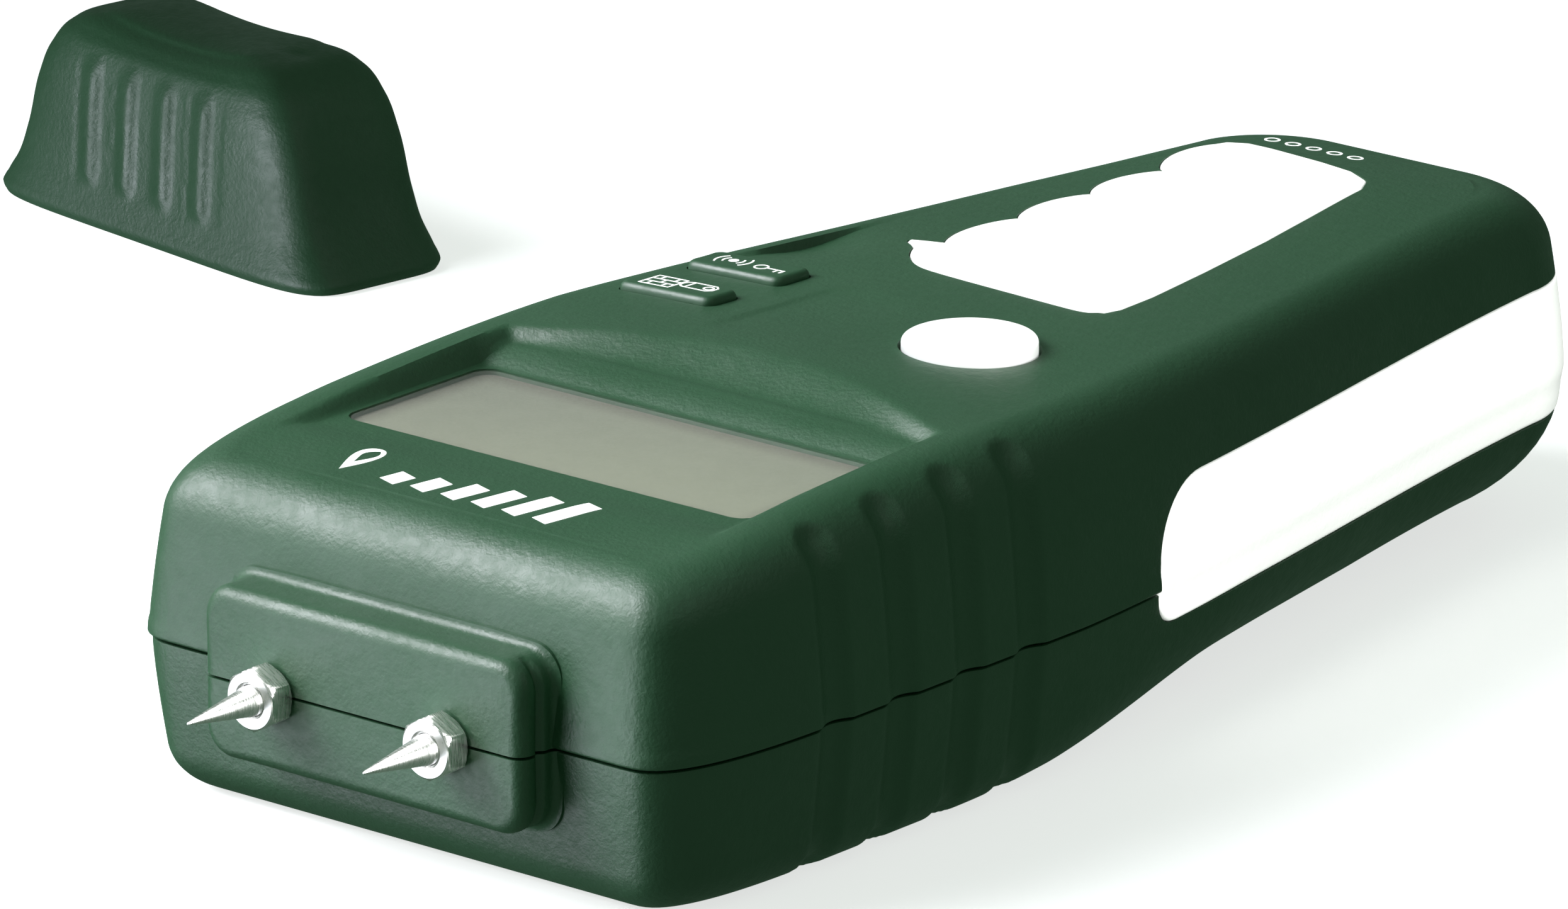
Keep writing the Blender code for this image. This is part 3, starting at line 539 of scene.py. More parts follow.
def side_skin(name, low, high, start_y, depth, proud, radius, corner_low=3.0, corner_high=8.0, rows=28):
    """U-shaped skin round both sides and the back end of the handle."""
    first = int(np.searchsorted(REFERENCE_Y[STARTS[2]:STARTS[3]], start_y)) + STARTS[2]
    x, y = (values[first:] for values in plan(0.0))
    run = np.concatenate([[0], np.cumsum(np.hypot(np.diff(x), np.diff(y)))])
    fine = np.concatenate([np.linspace(0, 1, 14)[:-1] ** 1.6 * corner_high,
                           np.arange(corner_high, run[-1], 1.1), [run[-1]]])
    bottom = low + corner_low - quarter_round(fine, corner_low)
    crest = high - corner_high + quarter_round(fine, corner_high)
    shares = np.concatenate([np.linspace(0, 0.06, 6)[:-1], np.linspace(0.06, 0.94, rows),
                             np.linspace(0.94, 1, 6)[1:]])
    sides = []
    for inside in (False, True):
        columns = []
        for share in shares:
            z = bottom + (crest - bottom) * share
            edge = np.minimum(np.minimum(z - bottom, crest - z), fine)
            out = np.full(len(fine), -depth) if inside else proud - (radius - quarter_round(edge, radius))
            column = []
            for k, place in enumerate(fine):
                px, py = (values[first:] for values in plan(side_inset(z[k]) - out[k]))
                column.append((np.interp(place, run, px), np.interp(place, run, py), z[k]))
            columns.append(column)
        half = np.array(columns)
        sides.append(np.concatenate([half, half[:, -2::-1] * (-1, 1, 1)], 1))
    height, width = sides[0].shape[:2]
    shift = height * width
    points = np.concatenate([side.reshape(-1, 3) for side in sides])
    outer = np.arange(shift).reshape(height, width)
    faces = grid_faces(outer) + grid_faces(outer + shift)
    border = np.concatenate([outer[0, :-1], outer[:-1, -1], outer[-1, :0:-1], outer[:0:-1, 0]])
    faces += [(a, b, b + shift, a + shift) for a, b in zip(border, np.roll(border, -1))]
    return new_mesh(name, points, faces, 50)


# --- boss ---
def boss(name, keep_low, keep_high):
    """Half of the rounded end boss with the snap groove down each flank."""
    outline = rounded_rectangle(-BOSS_X, BOSS_X, *BOSS_Z, BOSS_CORNER, 10, 0.8)
    centre, away = toward_spine(outline, ((-BOSS_X + 9, 15.5), (BOSS_X - 9, 15.5)))
    edge, fillet, groove_depth, groove_y, groove_width = 1.5, 0.9, 0.55, -79.3, 1.5
    rows = []                          # inset, place along the boss, and whether only the flanks draw in
    for turn in np.linspace(math.pi / 2, 0, 9):
        rows.append((edge * (1 - math.cos(turn)), BOSS_Y + edge * (1 - math.sin(turn)), False))
    for share in np.linspace(0, 1, 9):
        rows.append((groove_depth * math.sin(math.pi * share) ** 2, groove_y + groove_width * share, True))
    for turn in np.linspace(0, math.pi / 2, 6):
        rows.append((-fillet * (1 - math.cos(turn)), FRONT_Y - 0.3 + fillet * math.sin(turn), False))
    rows.append((-fillet, FRONT_Y + 2.3, False))
    on_flank = np.clip((np.abs(outline[:, 0]) - 17.0) / 2.0, 0, 1)[:, None]
    count = len(outline)
    rings = []
    for inset, y, flanks_only in rows:
        place = outline + (centre - outline) / away * inset * (on_flank if flanks_only else 1.0)
        rings.append(np.column_stack([place[:, 0], np.full(count, y), place[:, 1]]))
    faces = loft_faces(len(rings), count)
    faces += [end_face(0, count), end_face((len(rings) - 1) * count, count)]
    made = new_mesh(name, np.concatenate(rings), faces)
    return carve(made, [block(name + "_keep", (-40, -100, keep_low), (40, 0, keep_high))], "INTERSECT")


def pin_holes(word):
    return [turned("%s_hole_%d" % (word, side), [(PIN_R + 0.4, -85), (PIN_R + 0.4, -70)],
                   (side * PIN_X, 0, PARTING_Z), "Y") for side in (-1, 1)]


# --- handle insert ---
def grip_outline():
    """Plan outline of the soft insert: four cusped finger scallops on its left side."""
    near = [(14.7, 11.3), (13.7, 9.0), (11.5, 8.0), (3.0, 8.2), (-5.0, 8.8), (-8.9, 9.7), (-11.8, 12.0),
            (-13.5, 14.6), (-13.6, 16.4)]
    curve = [tuple(point) for point in round_curve(near, 0.4) if point[0] <= near[0][0]]
    end = next(i for i, (x, y) in enumerate(curve) if x < -13.3 and y > 16.3)
    points = curve[:end + 1]           # without the stretch that closes the curve
    cusp_x, cusp_y, pitch, last = -11.8, 17.4, 11.35, 3
    for index in range(last + 1):
        reach, lean = (12.5, 2.6) if index == last else (pitch, 0.0)
        bulge = 1.9 + 0.25 * index
        for t in np.linspace(0, 1, 26)[:-1]:
            x = cusp_x - bulge * math.sin(math.pi * t) ** 0.6 - lean * t
            points.append((x, cusp_y + pitch * index + reach * t))
    far = [(-14.6, 64.9), (-12.6, 65.9), (-9.5, 65.7), (-2.0, 64.5), (2.4, 63.5), (5.3, 61.8), (6.8, 59.0),
           (7.9, 53.6), (11.0, 38.4), (12.9, 26.5), (14.3, 16.6)]
    return fill_gaps(np.array(points + far), 0.5)


GRIP_SPINE = ((-1.0, 17.0), (-5.0, 57.0))


# --- ribbons for printed marks ---
def ribbon(points, width, height, lift=0.03, closed=False):
    """Thin raised strip along a polyline: returns (vertices, faces)."""
    path = np.array(points, float)
    if closed:
        path = np.concatenate([path, path[:1]])
    way = np.gradient(path, axis=0)
    if closed:
        way[0] = way[-1] = path[1] - path[-2]
    side = np.stack([-way[:, 1], way[:, 0]], 1)
    side /= np.maximum(np.linalg.norm(side, axis=1, keepdims=True), 1e-9)
    left, right = path + side * width / 2, path - side * width / 2
    rows = [np.column_stack([place, height(place[:, 0], place[:, 1]) + level])
            for place, level in ((left, lift), (right, lift), (right, -0.05), (left, -0.05))]
    count = len(path)
    corners = count * np.arange(4)
    numbers = corners[[0, 1, 2, 3, 0], None] + np.arange(count)
    faces = grid_faces(numbers) + [corners.tolist(), (corners + count - 1).tolist()]
    return np.concatenate(rows), faces


def slab_mark(corners, height, lift=0.03):
    """Thin raised polygon: returns (vertices, faces)."""
    outline = fill_gaps(np.array(corners, float), 0.6)
    count = len(outline)
    base = height(outline[:, 0], outline[:, 1])
    vertices = np.concatenate([np.column_stack([outline, base + level]) for level in (lift, -0.05)])
    return vertices, [end_face(0, count), end_face(count, count), *ring_faces(0, count, count)]


def join_marks(name, marks):
    points, faces, base = [], [], 0
    for vertices, own in marks:
        points.append(vertices)
        faces += [[base + i for i in face] for face in own]
        base += len(vertices)
    return new_mesh(name, np.concatenate(points), faces)


# --- build: casing ---
def pad_outline(name, grow=0.0):
    x0, x1, y0, y1 = PADS[name]
    return rounded_rectangle(x0 - grow, x1 + grow, y0 - grow, y1 + grow, 1.0 + grow, 8, 0.7)


def pad_spine(name):
    x0, x1, y0, y1 = PADS[name]
    middle, reach = (y0 + y1) / 2, (y1 - y0) / 2
    return (x0 + reach, middle), (x1 - reach, middle)


def band_way(word):
    """Pocket for the side band, a little larger than the band."""
    low, high = BAND_Z[0] - 0.12, BAND_Z[1] + 0.12
    return side_skin("band_way_" + word, low, high, BAND_Y - 0.6, SKIN_POCKET, 1.5, 0.01)


def make_top_shell():
    shell = half_shell("casing_top", top_levels(), top_height, -WALL)
    carve(shell, [boss("boss_top", PARTING_Z + PARTING_GAP, 40)], "UNION")
    above = 2.0
    cutters = [*pin_holes("top"),
               prism("window_way", rounded_rectangle(-DISPLAY_X, DISPLAY_X, *DISPLAY_Y, 2.0), 25, 40),
               prism("power_way", circle(*POWER_XY, POWER_R + 0.32), 25, 45),
               *[prism(name + "_way", pad_outline(name, 0.14), 25, 45) for name in PADS],
               plate("insert_way", grip_outline(), GRIP_SPINE, top_height, above, above + SKIN_POCKET,
                     0.05, 0.1),
               band_way("top")]
    return carve(shell, cutters, "DIFFERENCE")


def make_bottom_shell():
    shell = half_shell("casing_bottom", bottom_levels(), flat(0.0), WALL)
    carve(shell, [boss("boss_bottom", -5, PARTING_Z - PARTING_GAP)], "UNION")
    cutters = [*pin_holes("bottom"), band_way("bottom"),
               block("door_way", (-DOOR_X - 0.2, DOOR_Y - 0.2, -1), (DOOR_X + 0.2, 80, DOOR_TOP + 0.2)),
               *[turned("screw_bore", [(3.0, -1), (3.0, 8.0)], (x, y, 0)) for x, y in CASE_SCREWS]]
    return carve(shell, cutters, "DIFFERENCE")


def make_door():
    """Sliding battery door with a ribbed thumb rest and an arrow."""
    door = half_shell("door_cover", bottom_levels(), flat(0.0), WALL)
    carve(door, [block("door_keep", (-DOOR_X, DOOR_Y, -1), (DOOR_X, 80, DOOR_TOP))], "INTERSECT")
    cutters = [prism("thumb_groove", rounded_rectangle(-7, 7, y, y + 1.0, 0.49, 6, 1.0), -1, 0.45)
               for y in 22.0 + 2.2 * np.arange(5)]
    arrow = fill_gaps(np.array([(-2.6, 37.0), (2.6, 37.0), (0.0, 41.5)]), 0.8)
    cutters.append(prism("arrow", arrow, -1, 0.3))
    return carve(door, cutters, "DIFFERENCE")


# --- build: pins, nuts and cap ---
def make_pin(side, word):
    profile = [(0.07, PIN_TIP_Y), (0.16, PIN_TIP_Y + 0.12), (1.36, NUT_Y[0] - 0.75),
               (1.48, NUT_Y[0] - 0.35)]
    for turn in range(6):
        place = NUT_Y[0] - 0.2 + 0.5 * turn
        profile += [(PIN_R, place), (PIN_R - 0.18, place + 0.25)]
    profile += [(PIN_R, NUT_Y[1] + 0.1), (PIN_R, -69.7)]
    return turned(word + "_probe", profile, (side * PIN_X, 0, PARTING_Z), "Y", 48)


def make_nut(side, word):
    """Hexagon nut with chamfered corners, a vertex on top."""
    count = 96
    turns = full_turn(count)
    half, sixth = NUT_ACROSS / 2, math.pi / 6
    hexagon = half / np.cos(turns % (2 * sixth) - sixth)
    (near, far), whole = NUT_Y, 2 * half
    rows = []
    for y, trim in ((near, half * 0.97), (near + 0.12, half + 0.08), (near + 0.3, half + 0.22),
                    (near + 0.55, whole), (far - 0.45, whole), (far - 0.2, half + 0.2), (far, half * 0.98)):
        rows.append((np.minimum(hexagon, trim), y))
    bore, bevel = PIN_R + 0.06, 0.25
    for y, radius in ((far, bore + bevel), (far - bevel, bore), (near + bevel, bore), (near, bore + bevel)):
        rows.append((np.full(count, radius), y))
    points = [np.stack([side * PIN_X + radius * np.sin(turns), np.full(count, y),
                        PARTING_Z + radius * np.cos(turns)], 1) for radius, y in rows]
    faces = loft_faces(len(rows), count) + ring_faces((len(rows) - 1) * count, 0, count)
    return new_mesh(word + "_hex_nut", np.concatenate(points), faces, 20)


def cap_section(z):
    """Half length and half thickness of the cap at height z."""
    return along([row[:2] for row in CAP_OUTER], z), along([(row[0], row[2]) for row in CAP_OUTER], z)


def cap_outline():
    """Unit superellipse, evenly spaced along its broad sides and its ends, from the +X end round."""
    corner = 0.5 ** (1 / CAP_ROUNDNESS)
    broad, ends = np.linspace(0, corner, 46), corner * (np.arange(16) + 0.5) / 16

    def other(value):
        return (1 - value ** CAP_ROUNDNESS) ** (1 / CAP_ROUNDNESS)

    quarter = np.concatenate([np.stack([other(ends), ends], 1), np.stack([broad, other(broad)], 1)[::-1]])
    half_ring = np.concatenate([quarter, quarter[-2::-1] * (-1, 1)])
    return np.concatenate([half_ring, half_ring[::-1] * (1, -1)]).T


def rib_swell(x):
    """Swelling of the finger ribs, steep on the right side and soft on the left."""
    swell = np.zeros_like(x)
    for centre in CAP_RIBS:
        away = (x - centre) / 2.3
        rib = np.where(away < 0, np.clip(1 + away * 0.8, 0, 1), np.clip(1 - away * 1.7, 0, 1))
        swell += (smooth(rib) * 0.62 - 0.12) * (np.abs(away) < 1.3)
    return swell


def make_cap():
    """Pin cap: flared mouth, finger ribs on both broad faces, dished top and ends."""
    unit_x, unit_y = cap_outline()
    side_x, side_y = np.sign(unit_x) * (np.abs(unit_x) > 0.85), np.sign(unit_y) * (np.abs(unit_y) > 0.9)
    rings = [np.stack([half_x * unit_x, half_y * unit_y, np.full(len(unit_x), float(z))], 1)
             for z, half_x, half_y in CAP_INNER[::-1]]
    heights = np.concatenate([np.linspace(0, 1.2, 6)[:-1], np.linspace(1.2, 17.6, 40)[:-1],
                              np.linspace(17.6, 23.8, 28)])
    for z in heights:
        half_x, half_y = cap_section(z)
        x = half_x * unit_x
        y = half_y * unit_y + side_y * rib_swell(x) * smooth((z - 3.6) / 2.4) * (1 - smooth((z - 15.8) / 3.2))
        end_dish = 0.5 * smooth((z - 3) / 5) * (1 - smooth((z - 15) / 4))
        x = x - side_x * end_dish * np.clip(1 - (unit_y / 0.8) ** 2, 0, 1)
        saddle = 1.7 * (1 - np.clip(np.abs(x) / 17, 0, 1) ** 2) * smooth((z - 17.5) / 6)
        dimple = 0.25 * np.exp(-((np.abs(x) - 14.0) / 1.3) ** 2 - (y / 1.3) ** 2) * smooth((z - 21) / 2)
        rings.append(np.stack([x, y, z - saddle - dimple], 1))
    count = len(unit_x)
    faces = loft_faces(len(rings), count)
    for first in ((len(rings) - 1) * count, 0):
        last = first + count - 1
        faces += [(first + i, first + i + 1, last - 1 - i, last - i) for i in range(count // 2 - 1)]
    x, y, z = np.concatenate(rings).T
    cos, sin = math.cos(CAP_YAW), math.sin(CAP_YAW)
    placed = np.stack([CAP_CENTRE[0] + cos * x - sin * y, CAP_CENTRE[1] + sin * x + cos * y, z], 1)
    return new_mesh("pin_cap_cover", placed, faces, 40)


# --- build: keys, display and marks ---
def make_pad(name):
    return plate(name + "_key_top", pad_outline(name), pad_spine(name), top_height, KEY_RISE, 3.0, 0.7)


def make_power_key():
    outline, rise = circle(*POWER_XY, POWER_R), 0.22
    return plate("power_key_top", outline, (POWER_XY, POWER_XY), flat(POWER_TOP), -0.25, 6.5, 0.55, 0.0, rise)


def key_surface(x, y):
    return top_height(x, y) + KEY_RISE


def key_line(points, width=0.2, closed=False):
    return ribbon(points, width, key_surface, closed=closed)


def mode_marks():
    """Masonry wall and log, the two kinds of material."""
    left, middle, right, low, high = -23.9, -22.1, -20.3, -14.0, -10.9
    frame_line = fill_gaps(np.array([(left, low), (right, low), (right, high), (left, high)]), 0.5)
    marks = [key_line(frame_line, closed=True)]
    courses = np.linspace(low, high, 4)
    for course in courses[1:-1]:
        marks.append(key_line([(left, course), (middle, course), (right, course)]))
    for k in range(3):
        for x in (middle,) if k % 2 else (middle - 0.9, middle + 0.9):
            joint = np.linspace((x, courses[k]), (x, courses[k + 1]), 3)
            marks.append(key_line(joint))
    body = [(-19.2, -12.9), (-16.6, -12.9), (-16.1, -12.4), (-16.1, -11.5), (-16.6, -11.0), (-19.2, -11.0)]
    marks += [key_line(fill_gaps(np.array(body), 0.5), closed=True),
              key_line(arc(-19.2, -11.95, 0.95, 90, 270)), key_line(arc(-16.9, -11.95, 0.5, 0, 360))]
    return join_marks("mode_key_marks", marks)


def sound_marks():
    """Sound waves and a lock key."""
    marks = [key_line(arc(-22.0, -2.2, 0.28, 0, 360), 0.5)]
    for radius in (1.1, 1.9):
        marks += [key_line(arc(-22.0, -2.2, radius, middle - 40, middle + 40)) for middle in (0, 180)]
    marks += [key_line(arc(-18.3, -2.5, 0.7, 0, 360)),
              key_line([(-17.6, -2.5), (-16.5, -2.5), (-15.4, -2.5)])]
    marks += [key_line([(x, -2.5), (x, -2.9), (x, -3.3)]) for x in (-15.5, -16.2)]
    return join_marks("sound_key_marks", marks)


def front_marks():
    """Generic mark in front of the display: a drop and a rising row of slanted bars."""
    turns = full_turn(40)
    across = 1.9 * np.sin(turns) * np.sin(turns / 2) ** 1.3
    marks = [slab_mark(np.stack([-14.4 + across, -64.6 - 3.0 * np.cos(turns)], 1), top_height)]
    for k in range(6):
        x, low, tall = -8.6 + 3.7 * k, -67.6, 2.4 + 0.7 * k
        marks.append(ribbon(np.linspace((x, low), (x + 0.3 * tall, low + tall), 9), 2.2, top_height))
    return join_marks("front_mark", marks)


def rear_marks():
    """Row of five small rings at the end of the handle."""
    places = -12.0 + 2.6 * np.arange(5)
    return join_marks("rear_mark", [ribbon(arc(x, 69.0, 0.7, 0, 360, 20), 0.26, top_height) for x in places])


# --- materials ---
class Nodes:
    """Short way to add and link the nodes of one material."""

    def __init__(self, name):
        self.material = bpy.data.materials.new(name)
        self.material.use_nodes = True
        self.tree = self.material.node_tree
        self.place = self.add("ShaderNodeTexCoord").outputs["Object"]

    def add(self, kind, inputs=(), **settings):
        """New node with its settings; inputs are (socket, value) pairs."""
        node = self.tree.nodes.new(kind)
        for key, value in settings.items():
            setattr(node, key, value)
        return self.feed(node, inputs)

    def feed(self, node, inputs):
        """Give sockets a number, a vector, a colour or another node's output."""
        for key, value in inputs:
            socket = node.inputs[key]
            if isinstance(value, bpy.types.NodeSocket):
                self.tree.links.new(value, socket)
            elif value is not None:
                socket.default_value = (*value, 1.0) if socket.type == "RGBA" else value
        return node

    def finish(self, *inputs):
        """Feed the surface shader and return the material."""
        self.feed(self.tree.nodes["Principled BSDF"], inputs)
        return self.material

    def noise(self, scale, detail=2.0, roughness=0.5, place=None):
        return self.add("ShaderNodeTexNoise", (("Scale", scale), ("Detail", detail), ("Roughness", roughness),
                                               ("Vector", place or self.place))).outputs["Fac"]

    def ranged(self, value, low, high, start=0.3, end=0.7):
        ends = (("From Min", start), ("From Max", end), ("To Min", low), ("To Max", high), ("Value", value))
        return self.add("ShaderNodeMapRange", ends, interpolation_type="SMOOTHSTEP").outputs["Result"]

    def math(self, operation, first, second=None):
        return self.add("ShaderNodeMath", ((0, first), (1, second)), operation=operation).outputs[0]

    def mix(self, factor, first, second):
        sides = (("Factor", factor), (6, first), (7, second))
        return self.add("ShaderNodeMix", sides, data_type="RGBA").outputs[2]

    def bump(self, height, distance, below=None):
        heights = (("Strength", 1.0), ("Distance", distance), ("Height", height), ("Normal", below))
        return self.add("ShaderNodeBump", heights).outputs["Normal"]


def tinted(color, factor):
    return tuple(min(1.0, channel * factor) for channel in color)


def moulded(name, color, roughness, grain=5e-5, grain_scale=2600, change=0.10, specular=0.5):
    """Moulded plastic or rubber: fine grain, soft colour drift and uneven gloss."""
    nodes = Nodes(name)
    drift = nodes.ranged(nodes.noise(28, 3), 0, 1)
    speck = nodes.ranged(nodes.noise(1500, 2), 0, 1, 0.35, 0.75)
    base = nodes.mix(drift, tinted(color, 1 - change), tinted(color, 1 + change))
    tone = nodes.mix(nodes.math("MULTIPLY", speck, 0.35), base, tinted(color, 1 + 1.6 * change))
    rough = nodes.math("ADD", nodes.ranged(nodes.noise(60, 3), roughness - 0.05, roughness + 0.05),
                       nodes.ranged(nodes.noise(900, 1), -0.03, 0.03))
    relief = None
    if grain:
        coarse = nodes.bump(nodes.noise(grain_scale * 0.35, 1), grain * 0.8)
        relief = nodes.bump(nodes.noise(grain_scale, 2, 0.6), grain, coarse)
    return nodes.finish(("Base Color", tone), ("Roughness", rough), ("Normal", relief),
                        ("Specular IOR Level", specular))


def turned_metal(name, color, roughness):
    """Plated metal with fine turning lines and faint stains."""
    nodes = Nodes(name)
    stretched = nodes.add("ShaderNodeMapping", (("Scale", (1.0, 14.0, 1.0)), ("Vector", nodes.place)))
    lines = nodes.noise(600, place=stretched.outputs["Vector"])
    stain = nodes.ranged(nodes.noise(220, 3), 0, 1)
    tone = nodes.mix(stain, tinted(color, 0.93), color)
    gloss = nodes.ranged(lines, roughness - 0.06, roughness + 0.08)
    return nodes.finish(("Base Color", tone), ("Roughness", gloss), ("Normal", nodes.bump(lines, 1.2e-5)),
                        ("Metallic", 1.0))


def display_material():
    """Blank reflective display: grey green, with a painted light gradient that is brighter towards its right
    and near sides, and painted brown shade along its edges.
    """
    nodes = Nodes("display_blank")
    split = nodes.add("ShaderNodeSeparateXYZ", ((0, nodes.place),))
    x, y = split.outputs["X"], split.outputs["Y"]
    # painted light: the blank is made lighter towards the right and the near side, as if lit from there
    right = nodes.ranged(x, 0, 1, -0.026, 0.012)
    near = nodes.ranged(y, 1, 0, -0.056, -0.034)
    painted_light_share = nodes.math("MULTIPLY", nodes.math("ADD", right, near), 0.5)
    tone = nodes.mix(painted_light_share, (0.235, 0.240, 0.180), (0.345, 0.350, 0.245))
    # painted shade: a soft dark brown band along the edges stands in for the shadow of the opening's wall
    side = nodes.math("SUBTRACT", DISPLAY_X * MM, nodes.math("ABSOLUTE", x))
    far = nodes.math("SUBTRACT", DISPLAY_Y[1] * MM, y)
    front = nodes.math("ADD", nodes.math("SUBTRACT", y, DISPLAY_Y[0] * MM), 0.0007)
    edge = nodes.math("MINIMUM", nodes.math("MINIMUM", side, far), front)
    tone = nodes.mix(nodes.ranged(edge, 0.62, 0.0, 0.0, 0.0032), tone, (0.10, 0.068, 0.05))
    tone = nodes.mix(nodes.ranged(nodes.noise(4000, 1), 0, 0.08), tone, (0.5, 0.5, 0.42))
    gloss = nodes.ranged(nodes.noise(300, 2), 0.5, 0.6)
    return nodes.finish(("Base Color", tone), ("Roughness", gloss), ("Specular IOR Level", 0.15))


def window_material():
    """Clear lens with a faint satin surface."""
    nodes = Nodes("window_lens")
    gloss = nodes.ranged(nodes.noise(240, 2), 0.30, 0.36)
    relief = nodes.bump(nodes.noise(500, 1), 4e-6)
    return nodes.finish(("Base Color", (0.82, 0.85, 0.78)), ("Roughness", gloss), ("Normal", relief),
                        ("Alpha", 0.10), ("Specular IOR Level", 0.3))


GREEN = (0.026, 0.097, 0.042)
SLOT_MATERIALS = {
    "casing_green": moulded("casing_green_grain", GREEN, 0.50, 6e-5, 2300, 0.07, 0.95),
    "mode_key_green": moulded("key_green_grain", GREEN, 0.47, 3e-5, 2600, 0.07, 0.95),
    "soft_white": moulded("soft_white_rubber", (0.82, 0.82, 0.80), 0.6, 3e-5, 2400, 0.02, 0.4),
    "key_white": moulded("key_white_satin", (0.84, 0.84, 0.83), 0.42, 1.5e-5, 2600, 0.02),
    "window_clear": window_material(),
    "display_grey": display_material(),
    "frame_white": moulded("frame_white_plastic", (0.66, 0.66, 0.63), 0.5, 2e-5),
    "board_green": moulded("board_mask", (0.012, 0.13, 0.045), 0.35, 1.5e-5, 900, 0.15),
    "black_plastic": moulded("black_plastic_grain", (0.02, 0.02, 0.021), 0.5, 2e-5, 2600, 0.2),
    "black_rubber": moulded("black_rubber_grain", (0.03, 0.03, 0.03), 0.7, 3e-5, 1800, 0.2),
    "red_plastic": moulded("red_sleeve", (0.45, 0.02, 0.02), 0.45, 1e-5),
    "nickel_steel": turned_metal("nickel_turned", (0.90, 0.89, 0.87), 0.30),
    "brass": turned_metal("brass_turned", (0.72, 0.52, 0.22), 0.25),
    "battery_case": moulded("battery_sleeve", (0.06, 0.06, 0.08), 0.3, 1e-5, 1200, 0.2),
}
MARK_WHITE = moulded("printed_white", (0.86, 0.87, 0.86), 0.6, 0, 2600, 0.02, 0.3)


def dress(piece, body, slot, *nodes, paint=None):
    """Give a new piece the material of its slot (or the given paint), put it on its body and hide the CAD
    nodes it stands for.
    """
    piece.data.materials.clear()
    piece.data.materials.append(paint or SLOT_MATERIALS[slot])
    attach(piece, body)
    if nodes:
        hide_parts(*nodes)
    return piece


# --- the object ---
dress(make_top_shell(), "housing", "casing_green", "top_shell")
dress(make_bottom_shell(), "housing", "casing_green", "bottom_shell")
dress(make_door(), "door", "casing_green", "battery_door")
band = side_skin("grip_band", *BAND_Z, BAND_Y, SKIN, 0.05, 0.45)
insert = plate("grip_insert", grip_outline(), GRIP_SPINE, top_height, 0.12, SKIN + 0.1, 0.45)
white_parts = [dress(band, "housing", "soft_white", "side_grip"),
               dress(insert, "housing", "soft_white", "handle_grip"),
               dress(make_power_key(), "power_key", "key_white", "power_button")]
dress(make_pad("mode"), "mode_key", "mode_key_green", "mode_button")
dress(make_pad("sound"), "sound_key", "mode_key_green", "sound_button")
for side, word in ((-1, "left"), (1, "right")):
    white_parts.append(dress(make_pin(side, word), "housing", "nickel_steel", word + "_pin"))
    white_parts.append(dress(make_nut(side, word), "housing", "nickel_steel", word + "_pin_nut"))
pin_cap = dress(make_cap(), "cap", "casing_green", "cap")

lens_x, lens_y = DISPLAY_X - 0.1, (DISPLAY_Y[0] + 0.1, DISPLAY_Y[1] - 0.1)
lens_outline = rounded_rectangle(-lens_x, lens_x, *lens_y, 1.9, 8, 0.8)
lens_spine = ((-14.0, -45.6), (14.0, -45.6))
lens = plate("window_lens", lens_outline, lens_spine, flat(FLOOR_Z), -0.12, 0.4, 0.12)
dress(lens, "housing", "window_clear", "display_window")
glass = plate("display_glass", lens_outline, lens_spine, flat(FLOOR_Z), -0.56, 3.6, 0.05)
dress(glass, "housing", "display_grey", "display_panel")

for made, body in ((mode_marks(), "mode_key"), (sound_marks(), "sound_key"), (front_marks(), "housing"),
                   (rear_marks(), "housing")):
    made.data.materials.append(MARK_WHITE)
    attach(made, body)
    white_parts.append(made)

for row in frame["record"]["subparts"]:
    node = frame["nodes"][row["node"]]
    node.data.materials.clear()
    node.data.materials.append(SLOT_MATERIALS[row["material_slot"]])


# --- stage, lights and camera ---
STUDIO_RADIUS = 8.0
FLOOR_TONE = 0.97
CARD_TINT = (0.96, 1.0, 1.1)


def studio_material(name, tone, share, one_sided=False):
    """Pale matt surface that glows a little; a one-sided one can't be seen from below."""
    nodes = Nodes(name)
    drift = nodes.ranged(nodes.noise(0.8, 1), 0, 1)
    base = nodes.mix(drift, (tone, tone, tone), (tone * 0.99, tone, tone * 0.995))
    surface = [("Base Color", base), ("Roughness", 0.9), ("Specular IOR Level", 0.0),
               ("Emission Color", (1.0, 1.0, 1.0)), ("Emission Strength", share)]
    if one_sided:
        front = nodes.math("SUBTRACT", 1.0, nodes.add("ShaderNodeNewGeometry").outputs["Backfacing"])
        surface.append(("Alpha", front))
    return nodes.finish(*surface)


def make_studio():
    edge = circle(0, 0, STUDIO_RADIUS / MM)
    count = len(edge)
    floor = new_mesh("studio_floor", np.column_stack([edge, np.full(count, -0.05)]), [end_face(0, count)])
    if floor.data.polygons[0].normal.z < 0:
        floor.data.flip_normals()
    floor.data.materials.append(studio_material("studio_floor_tone", 0.9, FLOOR_TONE * 0.72, True))
    shape = bmesh.new()
    bmesh.ops.create_icosphere(shape, subdivisions=5, radius=STUDIO_RADIUS)
    bmesh.ops.reverse_faces(shape, faces=shape.faces)
    data = bpy.data.meshes.new("studio_dome")
    shape.to_mesh(data)
    shape.free()
    dome = add_object("studio_dome", data)
    dome.data.materials.append(studio_material("studio_dome_tone", 0.0, FLOOR_TONE))
    for piece in (floor, dome):
        for way in ("diffuse", "glossy", "transmission", "shadow"):
            setattr(piece, "visible_" + way, False)


def area_light(name, place, target, size, power, color=(1, 1, 1), only=None, spread=180):
    data = bpy.data.lights.new(name, "AREA")
    data.shape = "RECTANGLE"
    data.size, data.size_y = size
    data.energy = power
    data.color = color
    data.spread = math.radians(spread)
    lamp = add_object(name, data)
    lamp.location = place
    lamp.rotation_euler = (Vector(target) - Vector(place)).to_track_quat("-Z", "Y").to_euler()
    if only:
        lamp.light_linking.receiver_collection = only
    return lamp


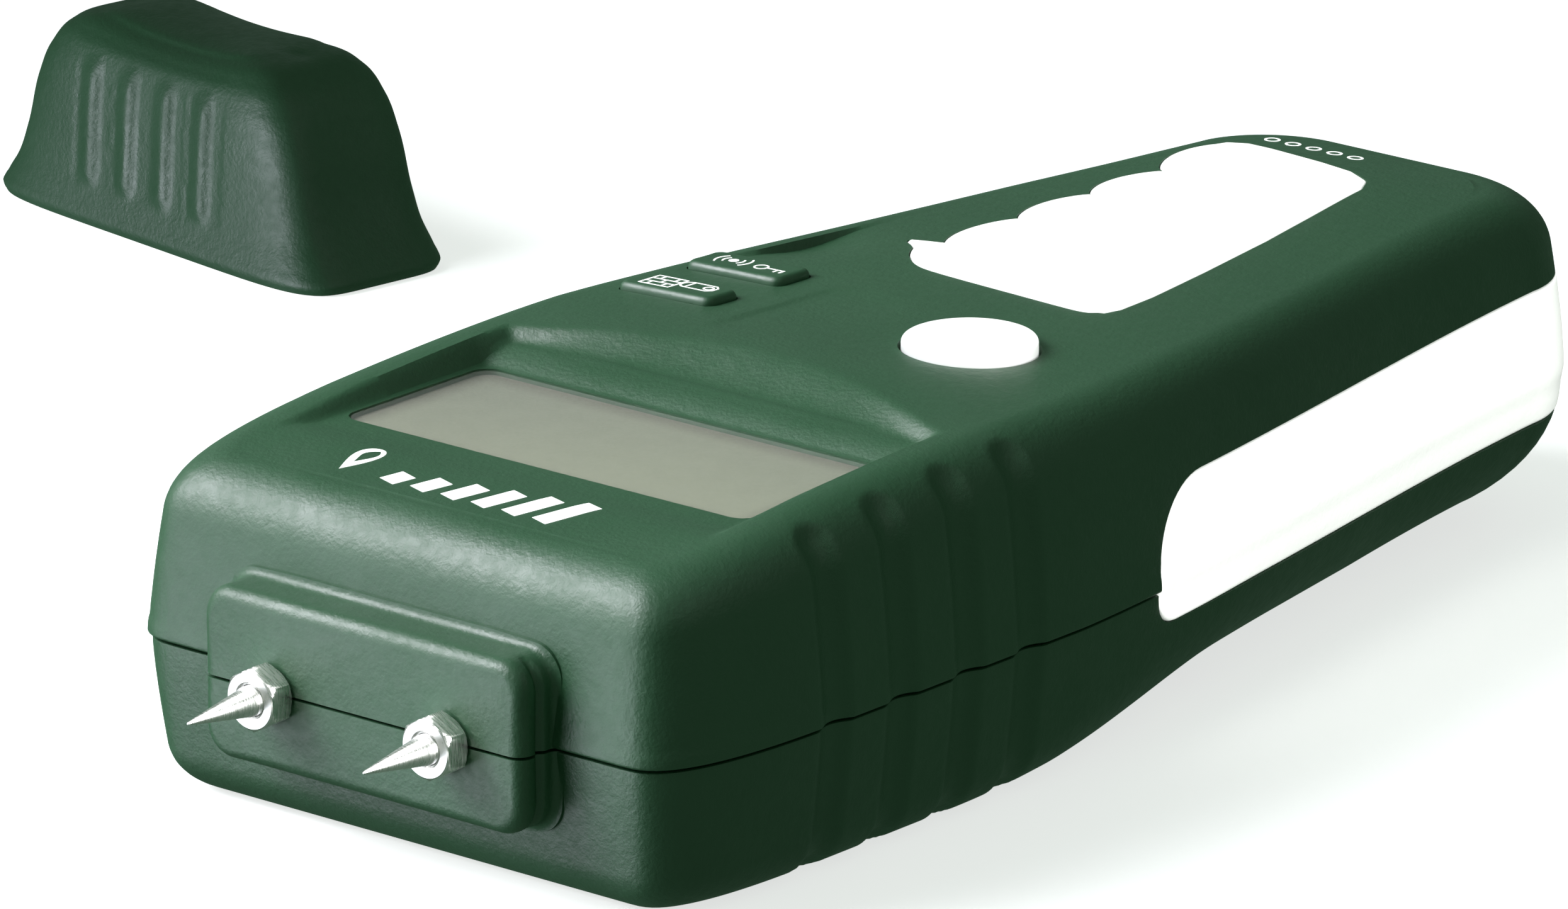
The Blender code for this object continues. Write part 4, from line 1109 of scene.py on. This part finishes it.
def make_lights():
    centre = (0.0, -0.01, 0.02)
    key = area_light("key", (-0.36, -0.33, 0.38), (-0.01, -0.07, 0.02), (0.45, 0.45), 1.0, (1.0, 1.0, 1.06),
                     spread=60)
    away_from_key = bpy.data.collections.new("away_from_key")
    away_from_key.objects.link(pin_cap)
    away_from_key.collection_objects[0].light_linking.link_state = "EXCLUDE"
    key.light_linking.receiver_collection = away_from_key
    area_light("front_card", (-0.48, -0.74, -0.16), (0.0, -0.06, 0.01), (0.6, 0.6), 2.8, CARD_TINT)
    area_light("back_card", (-0.9, 0.9, 0.42), centre, (0.9, 0.5), 0.15, (0.92, 1.0, 1.1))
    area_light("fill", (0.7, 0.1, 0.75), centre, (0.8, 0.8), 0.35, (0.98, 1.0, 0.98))
    cap_only = bpy.data.collections.new("cap_parts")
    cap_only.objects.link(pin_cap)
    area_light("cap_card", (-0.5, -0.6, 0.0), (-0.15, 0.06, 0.01), (0.3, 0.3), 1.4, CARD_TINT, cap_only)
    white_only = bpy.data.collections.new("white_parts")
    for piece in white_parts:
        white_only.objects.link(piece)
    area_light("white_side", (0.9, -0.25, 0.25), centre, (0.8, 0.8), 14.0, (1, 1, 1), white_only)
    area_light("white_top", (0.1, 0.0, 0.9), centre, (0.8, 0.8), 9.0, (1, 1, 1), white_only)
    world = bpy.data.worlds.new("studio_air")
    world.use_nodes = True
    air = world.node_tree.nodes["Background"].inputs
    air["Color"].default_value, air["Strength"].default_value = (0.6, 1.0, 0.7, 1.0), 0.14
    bpy.context.scene.world = world


CAMERA_AIM = Vector((0.0206, -0.0456, 0.0357))
CAMERA_TURN, CAMERA_RISE = math.radians(39.93), math.radians(17.65)
CAMERA_DISTANCE, CAMERA_LENS = 1.212, 303.93


def make_camera():
    data = bpy.data.cameras.new("camera")
    camera = add_object("camera", data)
    level = math.cos(CAMERA_RISE)
    back = Vector((math.sin(CAMERA_TURN) * level, -math.cos(CAMERA_TURN) * level, math.sin(CAMERA_RISE)))
    camera.location = CAMERA_AIM + back * CAMERA_DISTANCE
    camera.rotation_euler = (-back).to_track_quat("-Z", "Y").to_euler()
    data.lens = CAMERA_LENS
    data.sensor_width = 36.0
    bpy.context.scene.camera = camera


make_studio()
make_lights()
make_camera()
bpy.context.scene.view_settings.view_transform = "Standard"
